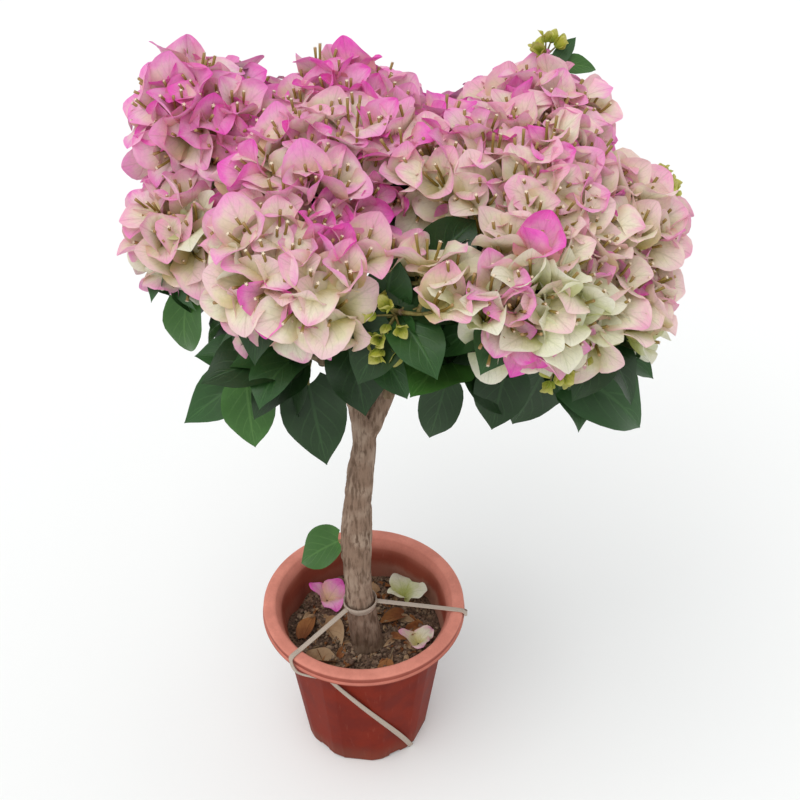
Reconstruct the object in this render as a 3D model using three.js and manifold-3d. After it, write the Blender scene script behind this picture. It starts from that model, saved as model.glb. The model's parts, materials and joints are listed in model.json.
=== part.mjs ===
// A bougainvillea grown as a standard: one bare trunk in a ten-sided plastic pot, with a rounded crown
// of papery bracts over a skirt of leaves, and a flat packing band that ties trunk and pot together.
// Millimetres, +Z up. The origin is the middle of the pot's underside, and -Y is the front.
import * as THREE from "three";
import { mergeVertices } from "three/addons/utils/BufferGeometryUtils.js";
import Module from "manifold-3d";

const wasm = await Module();
wasm.setup();

// ---------------------------------------------------------------- driving dimensions
const GAP = 0.3; // clearance that neighbouring pieces keep
const DEG = Math.PI / 180;

const POT = {
  height: 204, // underside to the top of the rim
  rimRadius: 115,
  mouthRadius: 100.6,
  skirtDepth: 13, // how far the rim's outer skirt hangs down
  wallTopRadius: 97.5, // outside of the wall where it meets the rim
  footRadius: 73.5,
  wall: 2.6,
  floorUnderside: 5, // the floor is raised on a foot ring and a small centre pad
  floorTop: 8,
  footRingWidth: 10,
  padRadius: 13,
  sides: 10,
  facetTurn: 12, // degrees from +X to the first facet's middle
  cornerHalf: 5, // degrees of round corner on each side of an edge
  drainWidth: 17,
  drainHeight: 4.5,
  bandSlotWidth: 15,
  bandSlotHeight: 3,
  facetFade: [26, 8], // the facets end and the round rim begins, below the top
  lipRise: 0.5, // how far the thin lip on the skirt's lower edge stands out
};
const SOIL = { level: 155, dip: 7, flatRadius: 26 }; // highest and level round the trunk's foot
const CROWN_AXIS = new THREE.Vector3(42, -5, 0); // the crown hangs over to the right of the pot
const HEART_HEIGHT = 610; // every mass grows away from this point of the axis
const BAND = {
  width: 6,
  thick: 0.8,
  slack: 0.5,
  ringHeight: 223.5,
  trunkRadius: 16.6, // the trunk's greatest radius under the ring
  frontRim: 229, // bearings where the two strands cross the rim
  backRim: 351.5,
  frontSlot: 318, // and where they turn in under the foot
  backSlot: 102,
  meetShare: 0.495, // each strand runs this far towards the other's slot
};

// The trunk's centre line and radius, from its flat cut at soil level to the head of the fork.
const TRUNK = [
  { at: [4, -23, SOIL.level + GAP], r: 18.6 },
  { at: [3, -22.6, 165], r: 17.5 },
  { at: [-1, -22, 201], r: 17 },
  { at: [-4, -22, 243], r: 15.6 },
  { at: [-5, -22, 288], r: 16 },
  { at: [-4.6, -22, 318], r: 17 },
  { at: [-4, -22, 340], r: 17.3 },
  { at: [-2, -22, 375], r: 15 },
  { at: [1, -21.5, 412], r: 13.8 },
  { at: [5, -21, 448], r: 12.4 },
  { at: [6, -20, 472], r: 12.6 },
  { at: [2, -18, 494], r: 11 },
  { at: [-5, -15, 518], r: 9.6 },
];
// The right arm of the fork leaves the trunk below its head.
const FORK_ARM = [
  { at: [7, -21, 456], r: 8.5 },
  { at: [15, -21, 480], r: 10 },
  { at: [24, -21, 505], r: 9 },
  { at: [33, -21, 530], r: 8.2 },
];

// Masses of the crown: name, bearing and reach from the crown's axis, height, radius, and the limb and
// share of its length that its bough springs from. Each keeps to its own cell of the crown.
const massesOf = (rows) =>
  rows.map(([name, bearing, reach, height, radius, from, at]) => {
    return { name, bearing, reach, height, radius, from, at };
  });
const BLOSSOM_MASSES = massesOf([
  ["crown_top", 351, 30, 750, 70, "fork_arm", 0.9],
  ["upper_left", 161, 199, 772, 69, "trunk", 0.98],
  ["upper_back", 122, 107, 757, 74, "trunk", 0.96],
  ["upper_right", 31, 154, 751, 75, "fork_arm", 0.95],
  ["left", 184, 197, 684, 64, "bough_upper_left", 0.3],
  ["front_left", 229, 150, 712, 72, "trunk", 0.93],
  ["front_middle", 271, 141, 700, 64, "bough_crown_top", 0.2],
  ["front_right", 308, 165, 706, 70, "fork_arm", 0.8],
  ["right", 353, 198, 700, 67, "bough_upper_right", 0.25],
  ["right_low", 332, 198, 650, 62, "bough_front_right", 0.3],
  ["back_right", 62, 195, 700, 71, "bough_upper_right", 0.4],
  ["back", 100, 192, 700, 71, "bough_upper_back", 0.35],
  ["back_left", 141, 187, 692, 70, "bough_upper_back", 0.2],
  ["middle_left", 196, 84, 742, 68, "bough_front_left", 0.35],
  ["middle_right", 344, 122, 738, 66, "bough_upper_right", 0.15],
]);
// Masses of leaves, which hang as a skirt under the blossom.
const LEAF_MASSES = massesOf([
  ["skirt_front_left", 226, 122, 618, 78, "bough_front_left", 0.25],
  ["skirt_front_right", 292, 110, 630, 76, "bough_front_right", 0.2],
  ["skirt_right", 341, 148, 594, 74, "bough_right_low", 0.3],
  ["skirt_back", 78, 122, 622, 76, "bough_back", 0.12],
  ["skirt_left", 172, 146, 618, 76, "bough_left", 0.2],
]);
const BRACT = { length: 42, flowersPerMass: 24, leavesPerMass: 4, cup: 25, thick: 3.2 };
const LEAF = { length: 72, width: 56, thick: 2.4, fold: 6, droop: 8, leavesPerMass: 16 };
const TWIG = { stemRadius: 3.6, baseRadius: 2.6, tipRadius: 1.7 };
const BOUGH = { share: 0.72, thickest: 7.2, enters: 0.55 }; // of its parent's radius, and of its mass's
const SPAN = { blossom: 105, innerLeaves: 95, skirt: 130 }; // degrees from the pole of a mass
// Sides and steps of the limbs' faceted tubes.
const FACETS = { trunk: [14, 18], arm: [9, 6], bough: [6, 5] };
const TIP_OVERLAP = 0.16; // share of a blossom or leaf that its neighbours may run into
const LEAST_TURN = 0.35; // cosine of the most that a blossom or leaf bends away from its twig

// ---------------------------------------------------------------- materials
const PAINT = {
  pot: { color: 0x9c3f35, roughness: 0.5 },
  soil: { color: 0x4a3a31, roughness: 1 },
  bark: { color: 0x86705f, roughness: 0.95 },
  blossom: { color: 0xecb3d2, roughness: 0.7 },
  leaf: { color: 0x2f5b34, roughness: 0.5 },
  band: { color: 0xb5b0a2, roughness: 0.45 },
  palePetal: { color: 0xe6e4cf, roughness: 0.75 },
  dryLeaf: { color: 0x9a6a45, roughness: 0.9 },
};
const materials = Object.fromEntries(
  Object.entries(PAINT).map(([name, look]) => [
    name,
    new THREE.MeshStandardMaterial({ ...look, metalness: 0, side: THREE.FrontSide }),
  ]),
);

// ---------------------------------------------------------------- small helpers
const vec = (x, y, z) => new THREE.Vector3(x, y, z);
const lerp = THREE.MathUtils.lerp;
const smoothstep = THREE.MathUtils.smoothstep;
const polar = (bearing, r, z) => vec(r * Math.cos(bearing * DEG), r * Math.sin(bearing * DEG), z);

// A repeatable number from 0 to 1 for two whole numbers.
function dice(a, b) {
  const s = Math.sin(a * 12.9898 + b * 78.233 + 1.618) * 43758.5453;
  return s - Math.floor(s);
}

// A closed body from rings of points, each ring counter-clockwise as seen from the next, with a fan
// of triangles over the first and the last ring.
function loft(rings) {
  const n = rings[0].length;
  const middle = (ring) => ring.reduce((sum, p) => sum.add(p), vec(0, 0, 0)).divideScalar(n);
  const points = [...rings.flat(), middle(rings[0]), middle(rings[rings.length - 1])];
  const first = rings.length * n;
  const last = first + 1;
  const faces = [];
  for (let j = 0; j < n; j++) {
    const k = (j + 1) % n;
    faces.push(first, k, j);
    for (let i = 0; i + 1 < rings.length; i++) {
      const a = i * n;
      const b = a + n;
      faces.push(a + j, a + k, b + k, a + j, b + k, b + j);
    }
    const top = (rings.length - 1) * n;
    faces.push(last, top + j, top + k);
  }
  return indexed(points, faces);
}

function indexed(points, faces) {
  const geometry = new THREE.BufferGeometry().setFromPoints(points);
  return geometry.setIndex(faces);
}

// Geometry to a manifold-3d solid and back.
function solidOf(geometry) {
  const merged = mergeVertices(geometry, 1e-4);
  return new wasm.Manifold(
    new wasm.Mesh({
      numProp: 3,
      vertProperties: new Float32Array(merged.attributes.position.array),
      triVerts: new Uint32Array(merged.index.array),
    }),
  );
}
function geometryOf(solid) {
  const { numProp, numVert, vertProperties, triVerts } = solid.getMesh();
  const point = (_, i) => vec(...vertProperties.subarray(i * numProp, i * numProp + 3));
  return indexed(Array.from({ length: numVert }, point), Array.from(triVerts));
}
function largestOf(solid) {
  return solid.decompose().reduce((best, piece) => (piece.volume() > best.volume() ? piece : best));
}

const plant = new THREE.Group();
function addMesh(name, solid, material) {
  const geometry = geometryOf(solid).toNonIndexed();
  geometry.computeVertexNormals();
  const mesh = new THREE.Mesh(geometry, material);
  mesh.name = name;
  plant.add(mesh);
}

// ---------------------------------------------------------------- pot and soil
// Angles round the pot: the middle of each facet and the ends of its round corners.
const POT_ANGLES = [];
for (let side = 0; side < POT.sides; side++) {
  const half = 180 / POT.sides;
  const middle = POT.facetTurn + (side * 360) / POT.sides;
  for (const off of [-half, POT.cornerHalf - half, 0, half - POT.cornerHalf]) {
    POT_ANGLES.push([middle + off, off]);
  }
}
// Radius of a ten-sided outline with round corners, as a share of its corner radius. facet 0 is a circle.
function outlineShare(off, facet) {
  const flat = 180 / POT.sides - POT.cornerHalf;
  const share = Math.min(1, Math.cos(flat * DEG) / Math.cos(off * DEG));
  return lerp(1, Math.abs(off) > flat ? 1 : share, facet);
}
function potRing(radius, height, facet) {
  return POT_ANGLES.map(([angle, off]) => {
    const r = radius * outlineShare(off, facet);
    return polar(angle, r, height);
  });
}
const facetAt = (height) => 1 - smoothstep(height, ...POT.facetFade.map((below) => POT.height - below));
const wallRadius = (height) =>
  lerp(POT.footRadius, POT.wallTopRadius, height / (POT.height - POT.skirtDepth));

function potSolid() {
  const { height: top, rimRadius, mouthRadius, skirtDepth, lipRise, wall } = POT;
  const { floorUnderside, floorTop, padRadius } = POT;
  const skirt = top - skirtDepth;
  const footIn = POT.footRadius - POT.footRingWidth;
  const [fadeStart] = POT.facetFade;
  const outside = [top - fadeStart, top - 19.5, skirt]; // the facets fade out into the round rim
  const profile = [
    [padRadius, 0, 0],
    [padRadius + 1.5, floorUnderside, 0],
    [footIn - 1, floorUnderside, 1],
    [footIn, 0, 1],
    [POT.footRadius - 1.5, 0, 1],
    [wallRadius(1.6), 1.6, 1],
    ...outside.map((z) => [wallRadius(z), z, facetAt(z)]),
    [mouthRadius - 1, skirt + 7.5, 0], // the rim is hollow underneath
    [rimRadius - 3.2, skirt + 8, 0],
    [rimRadius - 2.4, skirt, 0],
    [rimRadius + lipRise, skirt, 0], // a thin lip runs round the skirt's lower edge
    [rimRadius + lipRise, skirt + 1.8, 0],
    [rimRadius - 0.9, skirt + 3, 0],
    [rimRadius, top - 3.6, 0],
    [rimRadius - 1.6, top - 0.9, 0],
    [rimRadius - 4.5, top, 0],
    [mouthRadius + 2.6, top, 0],
    [mouthRadius, top - 1.4, 0],
    [wallRadius(top - 13) - wall, top - 13, facetAt(top - 13)],
    [wallRadius(top - fadeStart) - wall, top - fadeStart, 1],
    [wallRadius(floorTop) - wall, floorTop, 1],
  ];
  const pot = solidOf(loft(profile.map(([r, z, facet]) => potRing(r, z, facet))));
  return cutFoot(pot);
}

// Arched drain notches under every second facet, and low wide slots at every second corner.
function cutFoot(pot) {
  const notch = (width, height, angle) => {
    const arch = new THREE.Shape();
    arch.moveTo(-width / 2, -1);
    arch.lineTo(width / 2, -1);
    arch.lineTo(width / 2, height * 0.45);
    arch.lineTo(width * 0.3, height);
    arch.lineTo(-width * 0.3, height);
    arch.lineTo(-width / 2, height * 0.45);
    const reach = POT.footRingWidth + 8;
    const block = new THREE.ExtrudeGeometry(arch, { depth: reach, bevelEnabled: false });
    block.deleteAttribute("normal");
    block.deleteAttribute("uv");
    block.rotateX(Math.PI / 2).rotateZ(Math.PI / 2 + angle * DEG);
    const out = POT.footRadius - POT.footRingWidth - 4;
    block.translate(out * Math.cos(angle * DEG), out * Math.sin(angle * DEG), 0);
    return solidOf(block);
  };
  const cuts = [];
  for (let k = 0; k < POT.sides / 2; k++) {
    const facetMiddle = POT.facetTurn + (k * 720) / POT.sides;
    cuts.push(notch(POT.drainWidth, POT.drainHeight, facetMiddle));
    cuts.push(notch(POT.bandSlotWidth, POT.bandSlotHeight, facetMiddle + 180 / POT.sides));
  }
  return pot.subtract(wasm.Manifold.union(cuts));
}

const trunkFoot = vec(...TRUNK[0].at);
// The soil's surface: level round the trunk's foot, with shallow dips away from it.
function soilHeight(x, y) {
  const away = Math.hypot(x - trunkFoot.x, y - trunkFoot.y);
  const rough = 0.5 + 0.25 * Math.sin(x * 0.09 + 1.3) + 0.25 * Math.sin(y * 0.11 - x * 0.04 + 0.4);
  return SOIL.level - SOIL.dip * rough * smoothstep(away, SOIL.flatRadius, SOIL.flatRadius * 2.2);
}
function soilSolid() {
  const inner = (z) => wallRadius(z) - POT.wall - 0.6;
  const bottom = POT.floorTop + GAP;
  const shoulder = SOIL.level - SOIL.dip - 2;
  const top = [0.97, 0.8, 0.62, 0.42, 0.2].map((share) =>
    potRing(inner(shoulder) * share, 0, 1).map((p) => p.setZ(soilHeight(p.x, p.y))),
  );
  return solidOf(loft([potRing(inner(bottom), bottom, 1), potRing(inner(shoulder), shoulder, 1), ...top]));
}

// ---------------------------------------------------------------- limbs
// A limb is a smooth centre line with a radius at each station, and is built round with flat ends.
function limbOf(stations) {
  const curve = new THREE.CatmullRomCurve3(stations.map((s) => vec(...s.at)), false, "centripetal");
  return { curve, radii: stations.map((s) => s.r) };
}
function radiusAt({ radii }, share) {
  const place = share * (radii.length - 1);
  const low = Math.min(Math.floor(place), radii.length - 2);
  return lerp(radii[low], radii[low + 1], place - low);
}
// The solid of a limb, grown all round by extra.
function limbSolid(limb, sides, steps, extra = 0, flatStart = false) {
  const rings = [];
  let side = vec(1, 0.2, 0.1);
  for (let i = 0; i <= steps; i++) {
    const share = i / steps;
    const along = limb.curve.getTangent(share);
    side = side.clone().addScaledVector(along, -side.dot(along)).normalize();
    const other = vec(0, 0, 0).crossVectors(along, side);
    const centre = limb.curve.getPoint(share);
    if (extra && (i === 0 || i === steps)) centre.addScaledVector(along, i ? extra : -extra);
    const r = radiusAt(limb, share) + extra;
    rings.push(
      Array.from({ length: sides }, (_, k) => {
        const turn = (k / sides) * 2 * Math.PI;
        const out = side.clone().multiplyScalar(Math.cos(turn)).addScaledVector(other, Math.sin(turn));
        const p = centre.clone().addScaledVector(out, r);
        return flatStart && i === 0 ? p.setZ(centre.z) : p;
      }),
    );
  }
  return solidOf(loft(rings));
}

const limbs = new Map();
let limbSpace; // every limb so far, grown by the clearance

function growLimb(name, limb, sides, steps) {
  const keep = limbSolid(limb, sides, steps, GAP);
  const solid = largestOf(limbSolid(limb, sides, steps).subtract(limbSpace));
  limbs.set(name, limb);
  limbSpace = limbSpace.add(keep);
  addMesh(name, solid, materials.bark);
}

function growTrunk() {
  const main = limbOf(TRUNK);
  const arm = limbOf(FORK_ARM);
  const solid = limbSolid(main, ...FACETS.trunk, 0, true).add(limbSolid(arm, ...FACETS.arm));
  limbs.set("trunk", main);
  limbs.set("fork_arm", arm);
  limbSpace = limbSolid(main, ...FACETS.trunk, GAP).add(limbSolid(arm, ...FACETS.arm, GAP));
  addMesh("trunk", solid, materials.bark);
}

const massCentre = ({ bearing, reach, height }) => polar(bearing, reach, height).add(CROWN_AXIS);

// One bough from its parent limb to the point where it enters its mass.
function growBough(mass) {
  const parent = limbs.get(mass.from);
  const start = parent.curve.getPoint(mass.at);
  const centre = massCentre(mass);
  const end = centre.clone().lerp(start, (BOUGH.enters * mass.radius) / centre.distanceTo(start));
  const span = start.distanceTo(end);
  const bend = start.clone().addScaledVector(parent.curve.getTangent(mass.at), span * 0.3);
  bend.lerp(end, 0.25).add(vec(0, 0, span * 0.06));
  const r0 = Math.min(radiusAt(parent, mass.at) * BOUGH.share, BOUGH.thickest);
  const limb = {
    curve: new THREE.QuadraticBezierCurve3(start, bend, end),
    radii: [r0, r0 * 0.84, r0 * 0.7, Math.max(r0 * 0.55, TWIG.stemRadius)],
  };
  growLimb(`bough_${mass.name}`, limb, ...FACETS.bough);
  return limb;
}

// ---------------------------------------------------------------- foliage
// A blossom or a leaf is a closed shape in its own frame with a three-cornered socket, where its twig
// joins it. Its faces leave the socket open, and the socket's corners run counter-clockwise about the
// way the twig comes.

// Three cupped bracts joined at the middle: a star of 24 faces that opens along +Z.
function blossomShape(size) {
  const corner = (angle, out, rise) => vec(out * Math.cos(angle * DEG), out * Math.sin(angle * DEG), rise);
  const rim = [];
  for (const lobe of [0, 120, 240]) {
    rim.push(corner(lobe - 60, 0.2 * size, 0.2 * BRACT.cup));
    rim.push(corner(lobe - 36, 0.66 * size, 0.64 * BRACT.cup));
    rim.push(corner(lobe, 0.88 * size, BRACT.cup));
    rim.push(corner(lobe + 36, 0.66 * size, 0.64 * BRACT.cup));
  }
  const socket = [0, 120, 240].map((angle) => corner(angle, TWIG.tipRadius, -BRACT.thick * 0.6));
  const n = rim.length;
  const perLobe = n / 3;
  const points = [...rim, ...socket, vec(0, 0, BRACT.thick * 0.6)];
  const middle = n + 3;
  const faces = [];
  for (let j = 0; j < n; j++) {
    const k = (j + 1) % n;
    const own = n + Math.floor(j / perLobe);
    const next = n + (Math.floor(j / perLobe + 1) % 3);
    faces.push(middle, j, k, own, k, j);
    if (k % perLobe === 0) faces.push(k, own, next);
  }
  return { points, faces, socket: [n, n + 1, n + 2], axis: vec(0, 0, 1) };
}

// A heart-shaped leaf folded along its midrib. It lies along +X and faces +Z.
function leafShape(length, width) {
  const { thick, fold, droop } = LEAF;
  const outline = [
    [0.2, -0.46, fold],
    [0.6, -0.36, fold * 0.7],
    [1, 0, -droop],
    [0.6, 0.36, fold * 0.7],
    [0.2, 0.46, fold],
  ].map(([along, across, rise]) => vec(along * length, across * width, rise));
  const r = TWIG.tipRadius;
  const socket = [vec(0, r, 0), vec(0, 0, r), vec(0, -r, 0)];
  const points = [...socket, ...outline, vec(length * 0.42, 0, thick / 2), vec(length * 0.42, 0, -thick / 2)];
  const [left, top, right, ...rest] = points.keys();
  const above = rest.pop() - 1;
  const below = above + 1;
  const edge = [right, ...rest.slice(0, outline.length), left];
  const faces = [above, left, top, above, top, right, below, right, left];
  for (let i = 0; i + 1 < edge.length; i++) {
    faces.push(above, edge[i], edge[i + 1], below, edge[i + 1], edge[i]);
  }
  return { points, faces, socket: [left, top, right], axis: vec(1, 0, 0) };
}

// The shape with its first axis turned to axis and its second towards side, moved to at.
function setShape(shape, at, axis, side) {
  const first = axis.clone().normalize();
  const second = side.clone().addScaledVector(first, -side.dot(first)).normalize();
  const third = vec(0, 0, 0).crossVectors(first, second);
  const basis = shape.axis.z
    ? new THREE.Matrix4().makeBasis(second, third, first)
    : new THREE.Matrix4().makeBasis(first, vec(0, 0, 0).crossVectors(second, first), second);
  basis.setPosition(at);
  return { ...shape, points: shape.points.map((p) => p.clone().applyMatrix4(basis)), axis: first };
}
const closed = ({ points, faces, socket: [a, b, c] }) => indexed(points, [...faces, a, c, b]);

// The shape at the end of a three-sided twig that tapers from r0 at its start into the socket.
function sprigGeometry({ points, faces, socket, axis }, start, r0) {
  const corners = socket.map((i) => points[i]);
  const end = corners.reduce((sum, p) => sum.add(p), vec(0, 0, 0)).divideScalar(3);
  const turn = new THREE.Quaternion().setFromUnitVectors(axis, end.clone().sub(start).normalize());
  const root = corners.map((p) => {
    const out = p.clone().sub(end);
    out.addScaledVector(axis, -out.dot(axis));
    return start.clone().add(out.normalize().multiplyScalar(r0).applyQuaternion(turn));
  });
  const n = points.length;
  const sides = [0, 1, 2].flatMap((i) => {
    const j = (i + 1) % 3;
    return [n + i, n + j, socket[j], n + i, socket[j], socket[i]];
  });
  return indexed([...points, ...root], [...faces, ...sides, n, n + 2, n + 1]);
}

// A three-sided tapering twig.
function twigGeometry(start, end, r0, r1) {
  const along = end.clone().sub(start).normalize();
  const steep = Math.abs(along.z) >= 0.9;
  const x = vec(0, 0, 0).crossVectors(steep ? vec(1, 0, 0) : vec(0, 0, 1), along).normalize();
  const y = vec(0, 0, 0).crossVectors(along, x);
  const ring = (centre, r) =>
    [0, 120, 240].map((angle) =>
      centre
        .clone()
        .addScaledVector(x, r * Math.cos(angle * DEG))
        .addScaledVector(y, r * Math.sin(angle * DEG)),
    );
  return loft([ring(start, r0), ring(end, r1)]);
}

// Directions spread evenly from a pole down to the angle widest, by the golden angle.
function spread(count, pole, widest, seed) {
  const side = vec(pole.y, -pole.x, 0.3).addScaledVector(pole, -0.3 * pole.z).normalize();
  const other = vec(0, 0, 0).crossVectors(pole, side);
  const lowest = Math.cos(widest * DEG);
  return Array.from({ length: count }, (_, i) => {
    const z = 1 - ((i + 0.5) / count) * (1 - lowest);
    const turn = i * 137.508 * DEG + seed;
    const r = Math.sqrt(1 - z * z);
    return pole
      .clone()
      .multiplyScalar(z)
      .addScaledVector(side, r * Math.cos(turn))
      .addScaledVector(other, r * Math.sin(turn));
  });
}

// True where every point lies in the mass's own cell: closer to it than to any other mass, each
// distance counted less the mass's own size.
function inCell(points, own, all) {
  return all.every((other) => {
    if (other.name === own.name) return true;
    const between = other.centre.clone().sub(own.centre);
    const span = between.length();
    const wall = (span * span + own.radius ** 2 - other.radius ** 2) / (2 * span) - GAP;
    between.divideScalar(span);
    return points.every((p) => p.clone().sub(own.centre).dot(between) < wall);
  });
}
const pointsOf = (geometry) => {
  const p = geometry.attributes.position;
  return Array.from({ length: p.count }, (_, i) => vec(p.getX(i), p.getY(i), p.getZ(i)));
};

// The wood of a mass so far: its fused pieces, and the joints that the next twig can spring from.
class Mass {
  constructor(plan, bough, all) {
    Object.assign(this, plan);
    this.all = all;
    const tip = bough.curve.getPoint(1);
    const end = this.centre.clone().addScaledVector(this.pole, this.radius * 0.1);
    this.pieces = [solidOf(twigGeometry(tip, end, TWIG.stemRadius, TWIG.baseRadius)).subtract(limbSpace)];
    this.joints = [0.45, 0.7, 0.95].map((share) => tip.clone().lerp(end, share));
    this.grown = []; // the blossom and leaves so far, without their outer tips
  }

  // Adds a twig from the nearest joint to the point, with a shape at its end, if all of it stays in
  // the mass's own cell, clear of the limbs, and off the blossom and leaves so far but for their tips.
  sprout(shape, to, axis, side) {
    const from = this.joints.reduce((best, p) => (p.distanceTo(to) < best.distanceTo(to) ? p : best));
    const along = to.clone().sub(from).normalize();
    const bent = axis.clone().normalize();
    bent.addScaledVector(along, Math.max(0, LEAST_TURN - bent.dot(along)));
    const end = setShape(shape, to, bent, side);
    const sprig = sprigGeometry(end, from, TWIG.baseRadius);
    if (!inCell(pointsOf(sprig), this, this.all)) return false;
    const solid = solidOf(sprig);
    if ([limbSpace, ...this.grown].some((taken) => solid.intersect(taken).volume() > 0)) return false;
    this.pieces.push(solid);
    this.joints.push(from.clone().lerp(to, 0.55));
    const inner = end.points.map((p) => p.clone().lerp(to, TIP_OVERLAP));
    this.grown.push(solidOf(closed({ ...end, points: inner })));
    return true;
  }

  // Sprouts at the full reach, or drawn in towards the middle until it fits.
  sproutWithin(shape, out, reach, axis, side) {
    return [1, 0.85, 0.7, 0.55, 0.4].some((share) => {
      const to = this.centre.clone().addScaledVector(out, reach * share);
      return this.sprout(shape, to.addScaledVector(this.pole, reach * (1 - share) * 0.6), axis, side);
    });
  }

  solid() {
    return largestOf(wasm.Manifold.union(this.pieces));
  }
}

// Blossom all over the mass's outer side, and leaves behind and below it.
function growBlossoms(mass, seed) {
  spread(BRACT.flowersPerMass, mass.pole, SPAN.blossom, seed).forEach((out, i) => {
    const size = BRACT.length * lerp(0.78, 1.05, dice(seed, i));
    const tipRing = Math.sqrt(mass.radius ** 2 - (size * 0.88) ** 2);
    const reach = (tipRing - BRACT.cup) * lerp(0.94, 1.1, dice(seed + 3, i));
    const side = vec(Math.cos(i * 2.1 + seed), Math.sin(i * 2.1 + seed), 0.4);
    mass.sproutWithin(blossomShape(size), out, reach, out.clone().add(vec(0, 0, 0.25)), side);
  });
  const behind = mass.pole.clone().negate().add(vec(0, 0, -0.8)).normalize();
  spread(BRACT.leavesPerMass, behind, SPAN.innerLeaves, seed + 2).forEach((out, i) => {
    growLeaf(mass, out, 0.3, 0.1, seed * 20 + i);
  });
}

// One leaf at the end of a twig. It points outwards and a little away from the crown's axis, and hangs.
function growLeaf(mass, out, reach, hang, seed) {
  const away = mass.centre.clone().sub(CROWN_AXIS).setZ(0).normalize();
  const scale = lerp(0.8, 1.12, dice(seed, 7));
  const axis = out.clone().addScaledVector(away, hang).add(vec(0, 0, -hang));
  const face = away.clone().add(vec(0, 0, 0.9)).addScaledVector(out, 0.3);
  mass.sproutWithin(leafShape(LEAF.length * scale, LEAF.width * scale), out, mass.radius * reach, axis, face);
}

function growLeaves(mass, seed) {
  const pole = mass.pole.clone().lerp(vec(0, 0, -0.4), 0.3).normalize();
  spread(LEAF.leavesPerMass, pole, SPAN.skirt, seed).forEach((out, i) => {
    growLeaf(mass, out, 0.34, 0.45, seed * 20 + i);
  });
}

// ---------------------------------------------------------------- packing band
// A flat band through stations, each with its middle and the direction that its face looks.
function bandSolid(stations) {
  const rings = stations.map(({ at, face }, i) => {
    const before = stations[Math.max(i - 1, 0)].at;
    const after = stations[Math.min(i + 1, stations.length - 1)].at;
    const along = after.clone().sub(before).normalize();
    const up = face.clone().addScaledVector(along, -face.dot(along)).normalize();
    const side = vec(0, 0, 0).crossVectors(up, along);
    const corner = (across, out) =>
      at
        .clone()
        .addScaledVector(side, (across * BAND.width) / 2)
        .addScaledVector(up, (out * BAND.thick) / 2);
    return [corner(1, -1), corner(1, 1), corner(-1, 1), corner(-1, -1)];
  });
  return solidOf(loft(rings));
}

// A strand from the ring round the trunk over the rim, down the wall, in through a slot of the foot
// and straight on under the floor to the middle of the way to the other strand's slot.
function bandStrand(rimBearing, slotBearing, otherSlot) {
  const outward = (bearing) => polar(bearing, 1, 0);
  const up = vec(0, 0, 1);
  const lift = BAND.slack + BAND.thick / 2;
  const top = POT.height + lift;
  const ring = ringCentre();
  const rimIn = polar(rimBearing, POT.mouthRadius + 1, top);
  const leave = rimIn.clone().sub(ring).setZ(0).normalize();
  const stations = [
    { at: ring.clone().addScaledVector(leave, ringRadius() + BAND.thick + 1.5), face: up },
    { at: rimIn, face: up },
    { at: polar(rimBearing, POT.rimRadius - 3.5, top), face: up },
    { at: polar(rimBearing, POT.rimRadius + 0.4, top - 1), face: up.clone().add(outward(rimBearing)) },
    { at: polar(rimBearing, POT.rimRadius + 0.5 + lift, top - 4), face: outward(rimBearing) },
  ];
  const turn = ((slotBearing - rimBearing + 540) % 360) - 180;
  const skirt = POT.height - POT.skirtDepth;
  stations.push({
    at: polar(rimBearing + turn * 0.05, POT.rimRadius + 2.2 + lift, skirt - 0.8),
    face: outward(rimBearing + turn * 0.05),
  });
  const steps = 13;
  for (let i = 0; i <= steps; i++) {
    const share = i / steps;
    const z = lerp(skirt - 22, 8, share ** 1.15);
    const bearing = rimBearing + turn * lerp(0.22, 0.97, share);
    stations.push({ at: polar(bearing, wallRadius(z) + lift + 0.5, z), face: outward(bearing) });
  }
  const under = POT.bandSlotHeight / 2;
  const slot = polar(slotBearing, POT.footRadius - 3, under);
  const meet = slot.clone().lerp(polar(otherSlot, POT.footRadius - 3, under), BAND.meetShare);
  stations.push({ at: polar(slotBearing, POT.footRadius + 1.5, under), face: outward(slotBearing).sub(up) });
  stations.push({ at: slot, face: up.clone().negate() });
  stations.push({ at: meet, face: up.clone().negate() });
  return bandSolid(stations);
}
function ringCentre() {
  const trunk = limbs.get("trunk");
  let low = 0;
  let high = 1;
  for (let i = 0; i < 40; i++) {
    const middle = (low + high) / 2;
    if (trunk.curve.getPoint(middle).z < BAND.ringHeight) low = middle;
    else high = middle;
  }
  return trunk.curve.getPoint(low);
}
const ringRadius = () => BAND.trunkRadius + BAND.slack;

// The loop drawn tight round the trunk, a square-section ring.
function bandRing() {
  const inner = ringRadius();
  const half = BAND.width / 2;
  const profile = [
    [inner, -half],
    [inner + BAND.thick, -half],
    [inner + BAND.thick, half],
    [inner, half],
    [inner, -half],
  ].map(([r, z]) => new THREE.Vector2(r, z));
  const ring = new THREE.LatheGeometry(profile, 24);
  ring.deleteAttribute("normal");
  ring.deleteAttribute("uv");
  ring.rotateX(Math.PI / 2);
  const centre = ringCentre();
  ring.translate(centre.x, centre.y, centre.z);
  return solidOf(ring);
}

// ---------------------------------------------------------------- what lies on the soil
// Lowers a piece until its lowest stretch is one gap above the soil.
function settle(geometry, soilMesh) {
  const ray = new THREE.Raycaster();
  const down = vec(0, 0, -1);
  let drop = Infinity;
  for (const p of pointsOf(geometry)) {
    ray.set(p.clone().setZ(POT.height * 2), down);
    const hit = ray.intersectObject(soilMesh)[0];
    if (hit) drop = Math.min(drop, p.z - hit.point.z);
  }
  return geometry.translate(0, 0, GAP * 3 - drop);
}

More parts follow.
